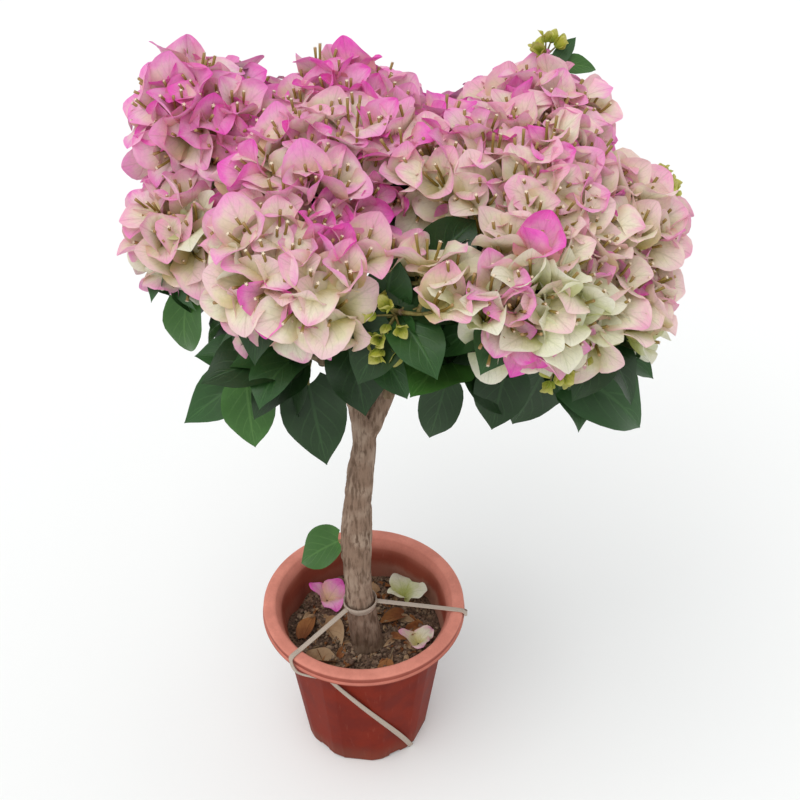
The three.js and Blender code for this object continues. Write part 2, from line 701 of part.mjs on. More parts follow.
const FALLEN = [
  { name: "fallen_blossom_pink", x: -44, y: 42, turn: 20, lean: 25, size: 24, look: "blossom" },
  { name: "fallen_blossom_pale", x: 44, y: 48, turn: 75, lean: 18, size: 25, look: "palePetal" },
  { name: "fallen_blossom_faded", x: 61, y: -19, turn: 140, lean: 14, size: 24, look: "palePetal" },
];
const DRY_LEAVES = [
  { x: -65, y: 3, turn: 75, length: 40, width: 20 },
  { x: -36, y: -16, turn: -55, length: 40, width: 25 },
  { x: -42, y: -52, turn: 12, length: 38, width: 24 },
  { x: 27, y: -58, turn: 88, length: 28, width: 19 },
  { x: 30, y: 12, turn: 200, length: 30, width: 16 },
  { x: -4, y: 62, turn: 160, length: 34, width: 22 },
];

const WILTED = 0.55; // share of its height that a fallen flower keeps
const LEAF_TILTS = [-6, 8]; // degrees, in turn

function litter(soilMesh) {
  for (const { name, x, y, turn, lean, size, look } of FALLEN) {
    const flower = closed(blossomShape(size)).scale(1, 1, WILTED);
    flower.rotateX(lean * DEG).rotateZ(turn * DEG).translate(x, y, POT.height);
    addMesh(name, solidOf(settle(flower, soilMesh)), materials[look]);
  }
  DRY_LEAVES.forEach(({ x, y, turn, length, width }, i) => {
    const leaf = closed(leafShape(length, width)).translate(-length / 2, 0, 0);
    leaf.rotateX(LEAF_TILTS[i % 2] * DEG).rotateZ(turn * DEG).translate(x, y, POT.height);
    addMesh(`dry_leaf_${i + 1}`, solidOf(settle(leaf, soilMesh)), materials.dryLeaf);
  });
}

// One leaf on a short shoot from the knot low on the trunk.
const LOW_LEAF = { length: 60, width: 46, root: [-14, -16, 309], at: [-25, -11, 307] };
function lowShoot() {
  const hang = vec(-0.79, 0.03, -0.61);
  const shape = leafShape(LOW_LEAF.length, LOW_LEAF.width);
  const leaf = setShape(shape, vec(...LOW_LEAF.at), hang, vec(-0.3, -0.5, 0.8));
  const sprig = solidOf(sprigGeometry(leaf, vec(...LOW_LEAF.root), TWIG.baseRadius));
  return largestOf(sprig.subtract(limbSpace));
}

// ---------------------------------------------------------------- assembly
addMesh("pot", potSolid(), materials.pot);
addMesh("soil", soilSolid(), materials.soil);
litter(plant.getObjectByName("soil"));

growTrunk();
const heart = CROWN_AXIS.clone().setZ(HEART_HEIGHT);
const plans = [...BLOSSOM_MASSES, ...LEAF_MASSES].map((plan) => {
  const centre = massCentre(plan);
  return { ...plan, centre, pole: centre.clone().sub(heart).normalize() };
});
const boughs = plans.map(growBough);
plans.forEach((plan, i) => {
  const leafy = i >= BLOSSOM_MASSES.length;
  const mass = new Mass(plan, boughs[i], plans);
  (leafy ? growLeaves : growBlossoms)(mass, i + 1);
  addMesh(plan.name, mass.solid(), leafy ? materials.leaf : materials.blossom);
});
addMesh("low_leaf", lowShoot(), materials.leaf);

addMesh("band_ring", bandRing(), materials.band);
addMesh("band_front", bandStrand(BAND.frontRim, BAND.frontSlot, BAND.backSlot), materials.band);
addMesh("band_back", bandStrand(BAND.backRim, BAND.backSlot, BAND.frontSlot), materials.band);

export default plant;
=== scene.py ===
"""A bougainvillea grown as a standard in a ten-sided plastic pot.

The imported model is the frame. The trunk and the boughs are drawn again with the relief of their bark, and
from the boughs' tips the masses of the crown are grown again by the same rule, carried on to finer twigs,
three-bracted flowers and leaves. Lengths are millimetres until a piece's mesh is made.
"""

from __future__ import annotations

import json
import logging
import math
from collections.abc import Callable
from dataclasses import dataclass, field, replace
from enum import Enum
from itertools import product
from typing import Any

import bpy
import numpy as np
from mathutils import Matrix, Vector

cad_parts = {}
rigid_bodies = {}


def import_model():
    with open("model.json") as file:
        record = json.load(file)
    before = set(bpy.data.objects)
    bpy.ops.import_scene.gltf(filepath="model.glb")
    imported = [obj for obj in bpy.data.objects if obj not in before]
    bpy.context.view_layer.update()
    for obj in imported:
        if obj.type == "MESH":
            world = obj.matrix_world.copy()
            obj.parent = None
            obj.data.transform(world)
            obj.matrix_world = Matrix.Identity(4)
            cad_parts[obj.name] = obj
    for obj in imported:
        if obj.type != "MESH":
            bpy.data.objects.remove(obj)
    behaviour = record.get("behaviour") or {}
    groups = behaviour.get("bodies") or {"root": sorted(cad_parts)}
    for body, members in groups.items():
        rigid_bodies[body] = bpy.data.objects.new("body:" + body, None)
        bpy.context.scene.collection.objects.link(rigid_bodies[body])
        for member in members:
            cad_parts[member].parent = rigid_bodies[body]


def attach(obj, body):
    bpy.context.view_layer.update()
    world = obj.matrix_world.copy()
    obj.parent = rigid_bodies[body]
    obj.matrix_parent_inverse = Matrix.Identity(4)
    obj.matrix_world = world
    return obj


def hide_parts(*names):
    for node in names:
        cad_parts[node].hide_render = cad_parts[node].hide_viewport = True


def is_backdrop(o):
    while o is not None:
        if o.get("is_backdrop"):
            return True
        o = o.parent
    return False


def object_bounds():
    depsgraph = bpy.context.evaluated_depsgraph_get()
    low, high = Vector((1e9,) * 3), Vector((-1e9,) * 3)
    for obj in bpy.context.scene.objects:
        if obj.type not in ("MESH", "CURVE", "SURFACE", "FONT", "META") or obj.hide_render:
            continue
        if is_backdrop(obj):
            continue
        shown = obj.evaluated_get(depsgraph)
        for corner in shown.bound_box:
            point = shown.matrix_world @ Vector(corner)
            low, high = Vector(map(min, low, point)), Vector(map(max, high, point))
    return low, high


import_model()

log = logging.getLogger("bougainvillea")
norm = np.linalg.norm
Array = np.ndarray
Two = tuple[Array, Array]
Three = tuple[Array, Array, Array]
Pair = tuple[float, float]
Triple = tuple[float, float, float]
Rows = tuple[tuple[float, float, float, float], ...]

MM = 0.001
DEG = math.pi / 180
UP = np.array([0.0, 0.0, 1.0])
LEVEL = np.array([1.0, 1.0, 0.0])  # times a vector, what is level of it
GAP = 0.3  # millimetres between neighbouring solids
BODY = "root"
UV_MAP = "OFBake"


# ---- small sums


def lerp(low: Any, high: Any, share: Any) -> Any:
    """The value at a share of the way from low to high."""
    return low + (high - low) * share


def smoothstep(x: Any, low: float, high: float) -> Any:
    """0 below low, 1 above high, and 3t^2 - 2t^3 between them."""
    t = np.clip((x - low) / (high - low), 0.0, 1.0)
    return t * t * (3 - 2 * t)


def unit(v: Array) -> Array:
    """Vectors of length 1 along the last axis."""
    return v / np.maximum(norm(v, axis=-1, keepdims=True), 1e-9)


def dot(a: Array, b: Array) -> Array:
    """Products of two arrays of vectors, with the last axis kept as one."""
    return (a * b).sum(-1, keepdims=True)


def dice(a: Any, b: Any) -> Any:
    """A repeatable number from 0 to 1 for each pair of numbers: the fraction of a large sine."""
    s = np.sin(a * 12.9898 + b * 78.233 + 1.618) * 43758.5453
    return s - np.floor(s)


def polar(bearing: Any, radius: Any, height: Any) -> Array:
    """Points at a bearing in degrees, a radius and a height about the pot's axis."""
    turn = np.asarray(bearing) * DEG
    x, y, z = np.broadcast_arrays(radius * np.cos(turn), radius * np.sin(turn), height)
    return np.stack([x, y, z], axis=-1)


def across(axis: Array) -> Two:
    """Two unit vectors square to each axis and to each other.

    Args:
        axis: Unit vectors, shape (n, 3).

    Returns:
        side and other, where side x other = axis.
    """
    lean = np.where(np.abs(axis[..., 2:]) < 0.9, UP, np.array([1.0, 0.0, 0.0]))
    side = unit(np.cross(lean, axis))
    return side, np.cross(axis, side)


def noise(points: Array, size: Any, seed: float) -> Array:
    """Smooth value noise from 0 to 1.

    Each corner of a lattice of cells has a number from the fraction of a large sine, and a point takes
    the mean of its cell's eight corners, weighted by 3t^2 - 2t^3 along each side.

    Args:
        points: Rows, shape (..., 3).
        size: A cell's size, one number or one for each axis.
        seed: Tells one pattern from another.

    Returns:
        One number a point.
    """
    place = points / np.asarray(size, float)
    cell = np.floor(place)
    share = place - cell
    share = share * share * (3 - 2 * share)
    total = np.zeros(points.shape[:-1])
    for corner in product((0, 1), repeat=3):
        at = cell + corner
        s = np.sin(at @ np.array([127.1, 311.7, 74.7]) + seed * 17.17) * 43758.5453
        weight = np.where(np.array(corner) == 1, share, 1 - share).prod(-1)
        total += (s - np.floor(s)) * weight
    return total


def spread(count: int, pole: Array, widest: float, seed: float) -> Array:
    """Directions spread evenly from a pole: equal steps of height and the golden angle between turns.

    Args:
        count: How many directions.
        pole: The unit vector that they start round.
        widest: Degrees from the pole to the last one.
        seed: Turns the whole pattern.

    Returns:
        Unit vectors, shape (count, 3).
    """
    side = unit(np.array([pole[1], -pole[0], 0.3]) - 0.3 * pole[2] * pole)
    other = np.cross(pole, side)
    i = np.arange(count)
    z = 1 - (i + 0.5) / count * (1 - math.cos(widest * DEG))
    turn = i * 137.508 * DEG + seed
    r = np.sqrt(1 - z * z)
    return z[:, None] * pole + (r * np.cos(turn))[:, None] * side + (r * np.sin(turn))[:, None] * other


# ---- meshes


class Stock:
    """Grids of points gathered into one mesh, with a UV spot for each corner of each face."""

    def __init__(self, mapped: bool = False) -> None:
        """Starts empty. mapped is true where the look reads the UV map, and it is kept."""
        self.mapped = mapped
        self.points: list[Array] = []
        self.faces: list[Array] = []
        self.spots: list[Array] = []
        self.count = 0

    def take(self, points: Array) -> Array:
        """Adds points of shape (..., 3) and returns their numbers, shape (...)."""
        flat = points.reshape(-1, 3)
        self.points.append(flat)
        numbers = self.count + np.arange(len(flat)).reshape(points.shape[:-1])
        self.count += len(flat)
        return numbers

    def keep(self, faces: Array, spots: Array) -> None:
        """Adds faces of shape (..., corners) with their UV spots of shape (..., corners, 2)."""
        self.faces.append(faces.reshape(-1, faces.shape[-1]))
        self.spots.append(spots.reshape(-1, 2))

    def grids(
        self, points: Array, spots: Any = (0.5, 0.5), wrap: bool = False, poles: Array | None = None
    ) -> Stock:
        """Adds grids, each a quad for every cell. Rows x columns turned right-handed face outwards.

        Args:
            points: Shape (grids, rows, columns, 3).
            spots: UV of every point, of any shape that spreads over the grids. With wrap it has one
                column more than points, for the seam.
            wrap: True if the last column joins the first.
            poles: A point that closes the first row and one that closes the last, (grids, 2, 3).

        Returns:
            The stock itself.
        """
        numbers = self.take(points)
        if wrap:
            numbers = np.concatenate([numbers, numbers[:, :, :1]], axis=2)
        spots = np.broadcast_to(np.asarray(spots, float), numbers.shape + (2,))
        here, onward = slice(None, -1), slice(1, None)
        corners = ((here, here), (onward, here), (onward, onward), (here, onward))
        self.keep(*(np.stack([a[:, r, c] for r, c in corners], axis=3) for a in (numbers, spots)))
        if poles is None:
            return self
        ends = self.take(poles)
        for row, pole in ((0, ends[:, :1]), (-1, ends[:, 1:])):
            left, right = numbers[:, row, :-1], numbers[:, row, 1:]
            tip = np.broadcast_to(pole, left.shape)
            ring = (tip, left, right) if row == 0 else (left, tip, right)
            middle = (spots[:, row, :-1] + spots[:, row, 1:]) / 2
            around = (middle, spots[:, row, :-1], spots[:, row, 1:])
            order = around if row == 0 else (around[1], around[0], around[2])
            self.keep(np.stack(ring, axis=-1), np.stack(order, axis=2))
        return self

    def mesh(self, name: str, sharp: float | None) -> bpy.types.Mesh:
        """The mesh in metres, smooth but for edges sharper than sharp degrees."""
        mesh = bpy.data.meshes.new(name)
        corners = np.concatenate([f.ravel() for f in self.faces])
        sizes = np.concatenate([np.full(len(f), f.shape[1]) for f in self.faces])
        mesh.vertices.add(self.count)
        mesh.vertices.foreach_set("co", np.concatenate(self.points).ravel() * MM)
        mesh.loops.add(len(corners))
        mesh.loops.foreach_set("vertex_index", corners)
        mesh.polygons.add(len(sizes))
        mesh.polygons.foreach_set("loop_start", np.cumsum(sizes) - sizes)
        mesh.uv_layers.new(name=UV_MAP)
        mesh.uv_layers[UV_MAP].data.foreach_set("uv", np.concatenate(self.spots).ravel())
        mesh.update(calc_edges=True)
        mesh.validate()
        mesh.polygons.foreach_set("use_smooth", np.ones(len(mesh.polygons), bool))
        if sharp is not None:
            mesh.set_sharp_from_angle(angle=sharp * DEG)
        return mesh


def filled(fill: Callable[[Stock], Any], mapped: bool = True) -> Stock:
    """A new stock with what one function puts into it."""
    stock = Stock(mapped)
    fill(stock)
    return stock


def put(name: str, data: Any) -> bpy.types.Object:
    """A new object in the scene, at the origin."""
    made = bpy.data.objects.new(name, data)
    bpy.context.scene.collection.objects.link(made)
    return made


def place(
    name: str, stock: Stock, look: bpy.types.Material, slot: str, *nodes: str, sharp: float | None = None
) -> None:
    """Makes a piece from a stock, gives it its look, and ties it to the frame.

    Args:
        name: The piece's name.
        stock: Its faces.
        look: Its material.
        slot: A material slot of the record; not used.
        nodes: The frame's nodes that it stands for.
        sharp: Degrees past which an edge stays sharp.
    """
    mesh = stock.mesh(name, sharp)
    if not stock.mapped:
        mesh.uv_layers.remove(mesh.uv_layers[UV_MAP])
    mesh.materials.append(look)
    piece = put(name, mesh)
    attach(piece, BODY)
    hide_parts(*nodes)
    log.info("%s: %d faces", name, len(mesh.polygons))


def tubes(paths: Array, radii: Array, sides: int) -> Array:
    """Round tubes: at each station a ring of the station's radius, square to the path.

    Args:
        paths: Centre lines, shape (tubes, stations, 3).
        radii: A radius for each station, (tubes, stations).
        sides: Points in a ring.

    Returns:
        Grids of shape (tubes, stations, sides, 3), whose faces point outwards.
    """
    along = unit(np.gradient(paths, axis=1))
    side, _ = across(unit(paths[:, -1] - paths[:, 0]))
    side = unit(side[:, None] - dot(side[:, None], along) * along)
    other = np.cross(along, side)
    turn = -np.arange(sides) / sides * 2 * math.pi
    ring = np.cos(turn)[:, None] * side[:, :, None] + np.sin(turn)[:, None] * other[:, :, None]
    return paths[:, :, None] + radii[:, :, None, None] * ring


def bezier(a: Array, b: Array, c: Array, t: Array) -> Array:
    """Points at t on a quadratic Bezier curve: (1 - t)^2 a + 2t (1 - t) b + t^2 c."""
    return (1 - t) ** 2 * a + 2 * t * (1 - t) * b + t * t * c


def arc(start: Array, bend: Array, end: Array, stations: int) -> Array:
    """Paths along quadratic Bezier curves, shape (paths, stations, 3)."""
    t = np.linspace(0, 1, stations)[None, :, None]
    return bezier(start[:, None], bend[:, None], end[:, None], t)


# ---- finishes


def linear(code: str) -> tuple[float, float, float, float]:
    """Linear red, green, blue and 1 for an sRGB hex code such as #A0B0C0."""
    shares = [int(code[i : i + 2], 16) / 255 for i in (1, 3, 5)]
    return (*(s / 12.92 if s <= 0.04045 else ((s + 0.055) / 1.055) ** 2.4 for s in shares), 1.0)


class Recipe:
    """One material's nodes."""

    def __init__(self, name: str) -> None:
        """Starts a material with nothing but its output."""
        self.material = bpy.data.materials.new(name)
        self.material.use_nodes = True
        self.tree = self.material.node_tree
        self.tree.nodes.clear()

    def add(self, kind: str, inputs: Any = (), **settings: Any) -> bpy.types.Node:
        """Adds a node with its settings and links.

        Args:
            kind: The node's type without "ShaderNode", and after a space its operation if it has one.
            inputs: A value, a colour's hex code, or a socket or node to link from, for each of the first
                sockets in turn, or a dict of them by the socket's name or number.
            **settings: Attributes of the node.

        Returns:
            The node.
        """
        kind, _, operation = kind.partition(" ")
        node = self.tree.nodes.new(f"ShaderNode{kind}")
        for key, value in (settings | ({"operation": operation} if operation else {})).items():
            setattr(node, key, value)
        for key, value in inputs.items() if isinstance(inputs, dict) else enumerate(inputs):
            if isinstance(value, str):
                value = linear(value)
            if isinstance(value, bpy.types.Node):
                value = value.outputs[2 if value.bl_idname == "ShaderNodeMix" else 0]
            if isinstance(value, bpy.types.NodeSocket):
                self.tree.links.new(value, node.inputs[key])
            else:
                node.inputs[key].default_value = value
        return node

    def finish(self, surface: bpy.types.Node) -> bpy.types.Material:
        """Links the surface to the output and returns the material."""
        self.add("OutputMaterial", {"Surface": surface})
        return self.material


# Settings and sizes that several finishes share.
TINT = {"data_type": "RGBA"}
SHADE = {"data_type": "RGBA", "blend_type": "MULTIPLY"}
SOFT = {"interpolation_type": "SMOOTHSTEP"}
TILE = 0.5  # a blade's share of the UV square, which holds four of them
TILE_RIM = 0.01  # kept free round each


@dataclass(frozen=True)
class Blade:
    """The skin of a bract or a leaf: thin tissue with a midrib, side veins and a tinted margin.

    The pattern follows the blade's own UV, across and along it. The UV square holds four blades, which
    differ in how far the margin's tint runs in.
    """

    name: str
    body: str
    margin: str
    foot: str
    vein: str
    margin_from: float = 0.25  # share of the half width where the margin's tint starts
    foot_to: float = 0.6
    vein_strength: float = 0.35
    side_veins: float = 6.0  # lines along the blade
    roughness: float = 0.6
    specular: float = 0.3
    glow: float = 0.0  # share of the light that passes through
    relief: float = 0.15  # millimetres
    cloud_scale: float = 9.0  # cells across the UV square, as the next
    fleck_scale: float = 38.0

    def material(self) -> bpy.types.Material:
        """Builds the material."""
        r = Recipe(self.name)
        uv = r.add("UVMap", uv_map=UV_MAP)
        twice = r.add("VectorMath MULTIPLY", (uv, (2, 2, 0)))
        local = r.add("VectorMath FRACTION", (twice,))
        tile = r.add("VectorMath FLOOR", (twice,))
        at = r.add("SeparateXYZ", (local,))
        which = r.add("VectorMath DOT_PRODUCT", (tile, (0.5, 0.25, 0))).outputs["Value"]
        signed = r.add("Math MULTIPLY_ADD", (at.outputs["X"], 2.0, -1.0))
        wide = r.add("Math ABSOLUTE", (signed,))
        along = at.outputs["Y"]
        cloud = r.add("TexNoise", {"Vector": uv, "Scale": self.cloud_scale, "Detail": 2.0})
        drift = r.add("Math MULTIPLY_ADD", (cloud, 0.5, -0.25))

        rim = r.add("Math ADD", (wide, drift))
        tip = r.add("Math ADD", (along, drift))
        start = r.add("Math MULTIPLY_ADD", (which, -0.45, self.margin_from + 0.17))
        rim_tint = r.add("MapRange", (rim, start, 1.25), **SOFT)
        tip_start = r.add("Math ADD", (start, -0.05))
        tip_tint = r.add("MapRange", (tip, tip_start, 1.1), **SOFT)
        tinted = r.add("Math MAXIMUM", (rim_tint, tip_tint))
        colour = r.add("Mix", {0: tinted, 6: self.body, 7: self.margin}, **TINT)
        reach = r.add("Math MULTIPLY_ADD", (which, 0.3, self.foot_to - 0.12))
        footed = r.add("MapRange", (tip, reach, 0.0), **SOFT)

        # Side veins lie on lines of along - wide / 2, and the midrib on the middle of the blade.
        slant = r.add("Math MULTIPLY_ADD", (wide, -0.5, along))
        wave = r.add("Math MULTIPLY", (slant, self.side_veins * 2 * math.pi))
        crest = r.add("Math SINE", (wave,))
        lines = r.add("MapRange", (crest, 0.8, 1.0), **SOFT)
        fade = r.add("MapRange", (wide, 0.95, 0.3), **SOFT)
        side = r.add("Math MULTIPLY", (lines, fade))
        rib = r.add("MapRange", (wide, 0.075, 0.02), **SOFT)
        veins = r.add("Math MULTIPLY", (side, 0.6))
        veins = r.add("Math MAXIMUM", (veins, rib))
        veined = r.add("Math MULTIPLY", (veins, self.vein_strength))
        for share, tint in ((footed, self.foot), (veined, self.vein)):
            colour = r.add("Mix", {0: share, 6: colour, 7: tint}, **TINT)
        fleck = r.add("TexNoise", {"Vector": uv, "Scale": self.fleck_scale, "Detail": 3.0})
        grey = r.add("MapRange", (fleck, 0.0, 1.0, 0.88, 1.1))
        colour = r.add("Mix", {0: 1.0, 6: colour, 7: grey}, **SHADE)

        height = r.add("Math ADD", (veins, fleck))
        bump = r.add("Bump", {"Height": height, "Strength": 0.6, "Distance": self.relief * MM})
        looks = {"Base Color": colour, "Roughness": self.roughness, "Specular IOR Level": self.specular}
        skin = r.add("BsdfPrincipled", looks | {"Normal": bump})
        if not self.glow:
            return r.finish(skin)
        through = r.add("BsdfTranslucent", {"Color": colour, "Normal": bump})
        return r.finish(r.add("MixShader", (self.glow, skin, through)))


@dataclass(frozen=True)
class Grained:
    """A rough solid stuff in three tones, by two noises on object coordinates."""

    name: str
    low: str
    middle: str
    high: str
    grain: Triple  # millimetres along x, y and z
    patch: float  # millimetres
    roughness: float = 0.9
    specular: float = 0.25
    relief: float = 0.4  # millimetres
    stain: str | None = None  # a tint that fades out upwards
    stain_band: Pair = (0.0, 1.0)  # millimetres above the ground
    stain_strength: float = 0.6

    def material(self) -> bpy.types.Material:
        """Builds the material."""
        r = Recipe(self.name)
        place_at = r.add("TexCoord").outputs["Object"]
        scale = tuple(1 / (g * MM) for g in self.grain)
        stretched = r.add("VectorMath MULTIPLY", (place_at, scale))
        fine = r.add("TexNoise", {"Vector": stretched, "Scale": 1.0, "Detail": 4.0, "Roughness": 0.6})
        broad = r.add("TexNoise", {"Vector": place_at, "Scale": 1 / (self.patch * MM), "Detail": 2.0})
        deep = r.add("MapRange", (fine, 0.34, 0.56), **SOFT)
        bright = r.add("MapRange", (broad, 0.4, 0.68), **SOFT)
        upper = r.add("Mix", {0: bright, 6: self.middle, 7: self.high}, **TINT)
        colour = r.add("Mix", {0: deep, 6: self.low, 7: upper}, **TINT)
        if self.stain:
            height = r.add("SeparateXYZ", (place_at,)).outputs["Z"]
            ragged = r.add("Math MULTIPLY_ADD", (broad, 0.03, height))
            bottom, top = (z * MM + 0.015 for z in self.stain_band)
            stained = r.add("MapRange", (ragged, top, bottom, 0.0, self.stain_strength), **SOFT)
            colour = r.add("Mix", {0: stained, 6: colour, 7: self.stain}, **TINT)
        bump = r.add("Bump", {"Height": fine, "Strength": 0.8, "Distance": self.relief * MM})
        looks = {"Base Color": colour, "Roughness": self.roughness, "Specular IOR Level": self.specular}
        return r.finish(r.add("BsdfPrincipled", looks | {"Normal": bump}))


@dataclass(frozen=True)
class PotPlastic:
    """Injection-moulded polypropylene, brick red: a soft gloss, chalky where the sun and hands reach.

    The top of the rim is salmon, from sun bleaching and painted light from above; a tan tide line runs above
    the soil and dust clings round the foot.
    """

    wall: str = "#7E230F"
    wall_dark: str = "#6E1B0B"
    # salmon of the rim's top, from sun bleaching and painted light from above
    rim: str = "#DC8E7C"
    inside: str = "#8C4535"
    tide: str = "#B08A76"
    dust: str = "#8A6A55"
    scuffed: str = "#D08A78"
    bleach_and_light_heights: Pair = (181.0, 200.0)  # heights in millimetres where the rim's salmon, sun bleaching and painted light, sets in
    tide_fades: Pair = (186.0, 175.0)
    dust_fades: Pair = (50.0, 8.0)
    cloud_scale: float = 28.0  # cells a metre: blotches of 36 mm
    speck_scale: float = 420.0  # specks of 2.4 mm, coarser than the moulding's own grain, so that they show
    streak_scale: Triple = (260, 260, 34)  # upright scuffs, 4 mm wide and 29 mm long

    def material(self) -> bpy.types.Material:
        """Builds the material."""
        r = Recipe("moulded polypropylene")
        place_at = r.add("TexCoord").outputs["Object"]
        axes = r.add("SeparateXYZ", (place_at,))
        height = axes.outputs["Z"]
        flat = r.add("VectorMath MULTIPLY", (place_at, (1, 1, 0)))
        outward = r.add("TexCoord").outputs["Normal"]
        facing = r.add("VectorMath DOT_PRODUCT", (flat, outward)).outputs["Value"]
        blotches = {"Vector": place_at, "Scale": self.cloud_scale, "Detail": 4.0, "Roughness": 0.6}
        cloud = r.add("TexNoise", blotches)
        streak_at = r.add("VectorMath MULTIPLY", (place_at, self.streak_scale))
        streak = r.add("TexNoise", {"Vector": streak_at, "Scale": 1.0, "Detail": 3.0})
        speck = r.add("TexNoise", {"Vector": place_at, "Scale": self.speck_scale, "Detail": 2.0})

        mottle = r.add("MapRange", (cloud, 0.35, 0.65), **SOFT)
        colour = r.add("Mix", {0: mottle, 6: self.wall_dark, 7: self.wall}, **TINT)
        # The inside of the wall is where the surface faces the pot's axis.
        inner = r.add("MapRange", (facing, -0.02, -0.05), **SOFT)
        # What looks up turns salmon, from sun bleaching and from painted light from above; the upright band
        # of the rim gets less of both and keeps more of its colour.
        rim_height_share = r.add("MapRange", (height, *(z * MM for z in self.bleach_and_light_heights)), **SOFT)
        up = r.add("SeparateXYZ", (outward,)).outputs["Z"]
        facing_up_bleach_and_light = r.add("MapRange", (up, -0.1, 0.55, 0.3), **SOFT)
        patchy = r.add("Math MULTIPLY_ADD", (mottle, 0.2, 0.8))
        rim_bleach_and_painted_light = r.add("Math MULTIPLY", (rim_height_share, patchy))
        rim_bleach_and_painted_light = r.add("Math MULTIPLY", (rim_bleach_and_painted_light, facing_up_bleach_and_light))
        # The tide line is ragged, and washed away towards the left.
        ragged = r.add("Math MULTIPLY_ADD", (cloud, 0.022, height))
        tide = r.add("MapRange", (ragged, *(z * MM for z in self.tide_fades)), **SOFT)
        tide = r.add("Math MULTIPLY", (tide, inner))
        side = r.add("MapRange", (axes.outputs["X"], -0.03, 0.08), **SOFT)
        washed = r.add("Math MULTIPLY_ADD", (side, 0.4, 0.15))
        tide = r.add("Math MULTIPLY", (tide, washed))
        low = r.add("MapRange", (ragged, *(z * MM for z in self.dust_fades), 0.0, 0.25), **SOFT)
        scuff = r.add("MapRange", (streak, 0.6, 0.78, 0.0, 0.08), **SOFT)
        # The rim's salmon stands for sun bleaching and painted light from above.
        layers = ((inner, self.inside), (rim_bleach_and_painted_light, self.rim), (tide, self.tide), (low, self.dust))
        for share, tint in (*layers, (scuff, self.scuffed)):
            colour = r.add("Mix", {0: share, 6: colour, 7: tint}, **TINT)
        grey = r.add("MapRange", (speck, 0.0, 1.0, 0.9, 1.08))
        colour = r.add("Mix", {0: 1.0, 6: colour, 7: grey}, **SHADE)

        gloss = r.add("MapRange", (cloud, 0.0, 1.0, 0.46, 0.64))
        dull = r.add("Math MULTIPLY_ADD", (tide, 0.5, gloss))
        bump = r.add("Bump", {"Height": speck, "Strength": 0.25, "Distance": 0.15 * MM})
        looks = {"Base Color": colour, "Roughness": dull, "Specular IOR Level": 0.1, "Normal": bump}
        return r.finish(r.add("BsdfPrincipled", looks))


@dataclass(frozen=True)
class Strapping:
    """Woven polypropylene packing band, grey-beige with fine ribs along it and a dull shine."""

    light: str = "#C8B8A8"
    dark: str = "#917F70"
    ribs: float = 7.0

    def material(self) -> bpy.types.Material:
        """Builds the material. U runs across the band and V along it."""
        r = Recipe("packing band")
        at = r.add("SeparateXYZ", (r.add("UVMap", uv_map=UV_MAP),))
        wave = r.add("Math MULTIPLY", (at.outputs["X"], self.ribs * 2 * math.pi))
        rib = r.add("Math SINE", (wave,))
        weft = r.add("TexNoise", {"Vector": r.add("UVMap", uv_map=UV_MAP), "Scale": 60.0})
        weave = r.add("Math ADD", (weft, rib))
        shade = r.add("MapRange", (weave, -1.0, 1.4))
        colour = r.add("Mix", {0: shade, 6: self.dark, 7: self.light}, **TINT)
        bump = r.add("Bump", {"Height": weave, "Strength": 0.5, "Distance": 0.15 * MM})
        looks = {"Base Color": colour, "Roughness": 0.48, "Specular IOR Level": 0.4, "Normal": bump}
        return r.finish(r.add("BsdfPrincipled", looks))


def papery(name: str, body: str, margin: str, foot: str, vein: str) -> Blade:
    """A bract's tissue: papery, dull, and lit through from behind."""
    return Blade(name, body, margin, foot, vein, 0.46, 0.76, 0.2, roughness=0.65, specular=0.2, glow=0.24)


def leathery(name: str, body: str, margin: str, foot: str, vein: str) -> Blade:
    """A leaf's tissue: opaque, with a soft gloss and a pale midrib."""
    return Blade(name, body, margin, foot, vein, 0.6, 0.3, 0.22, 5.0, 0.44, 0.36, relief=0.35)


class Tone(Enum):
    """The bracts' ages, from newly coloured to fading, and the young ones that are still green."""

    MAGENTA = papery("bract magenta", "#FAB8DE", "#F24EC4", "#E8C29E", "#B4527E")
    PINK = papery("bract pink", "#FADEE0", "#F482D0", "#E2CC9E", "#B07C78")
    LILAC = papery("bract lilac", "#F7E9D8", "#F694D4", "#DED09A", "#A08E5C")
    BLUSH = papery("bract blush", "#F7F0D8", "#F6A6CE", "#D8CC88", "#948A4C")
    CREAM = papery("bract cream", "#F5F0D4", "#F5CCD4", "#CEC678", "#908A46")
    PALE = papery("bract greenish white", "#F0F1D2", "#F2EFDC", "#C2C874", "#8E9A54")
    YOUNG = papery("bract young green", "#C0C04A", "#D3CE86", "#93A23C", "#6F7F30")


# From this blush upwards a flower takes the tone, the first that fits.
TONE_STEPS = (
    (0.86, Tone.MAGENTA),
    (0.66, Tone.PINK),
    (0.44, Tone.LILAC),
    (0.24, Tone.BLUSH),
    (0.07, Tone.CREAM),
    (-math.inf, Tone.PALE),
)


class LeafTone(Enum):
    """Leaves by age and by how much light they have had."""

    DARK = leathery("leaf dark", "#1E3817", "#23411C", "#26441E", "#4A7440")
    DEEP = leathery("leaf deep", "#2A4E22", "#2F5829", "#315828", "#5A884A")
    MID = leathery("leaf mid green", "#3A6427", "#42702F", "#44722E", "#76A256")
    FRESH = leathery("leaf fresh", "#568C32", "#649A3C", "#659A3A", "#9CC26C")


# Withered blades are dull and brittle, with veins that stand out dark.
WITHERED = (0.3, 0.5, 0.6, 5.0, 0.85, 0.15)
DRY_LEAF = Blade("dry leaf", "#8E5C38", "#A87446", "#7A4A2E", "#5E3A24", *WITHERED)
DRY_TAN = Blade("dry leaf tan", "#A98A6A", "#B79C7C", "#8E6E50", "#6E533C", *WITHERED)
# The true flowers are waxy: olive tubes that blush at the neck, and small cream stars.
FLOWER_TUBE = Blade("flower tube", "#94803E", "#B8906A", "#77692E", "#5E5228", 0.7, 0.5, 0.0)
FLOWER_STAR = Blade("flower star", "#F0DCC0", "#F6E8D2", "#D9A98A", "#D9B48E", 0.5, 0.45, 0.2)

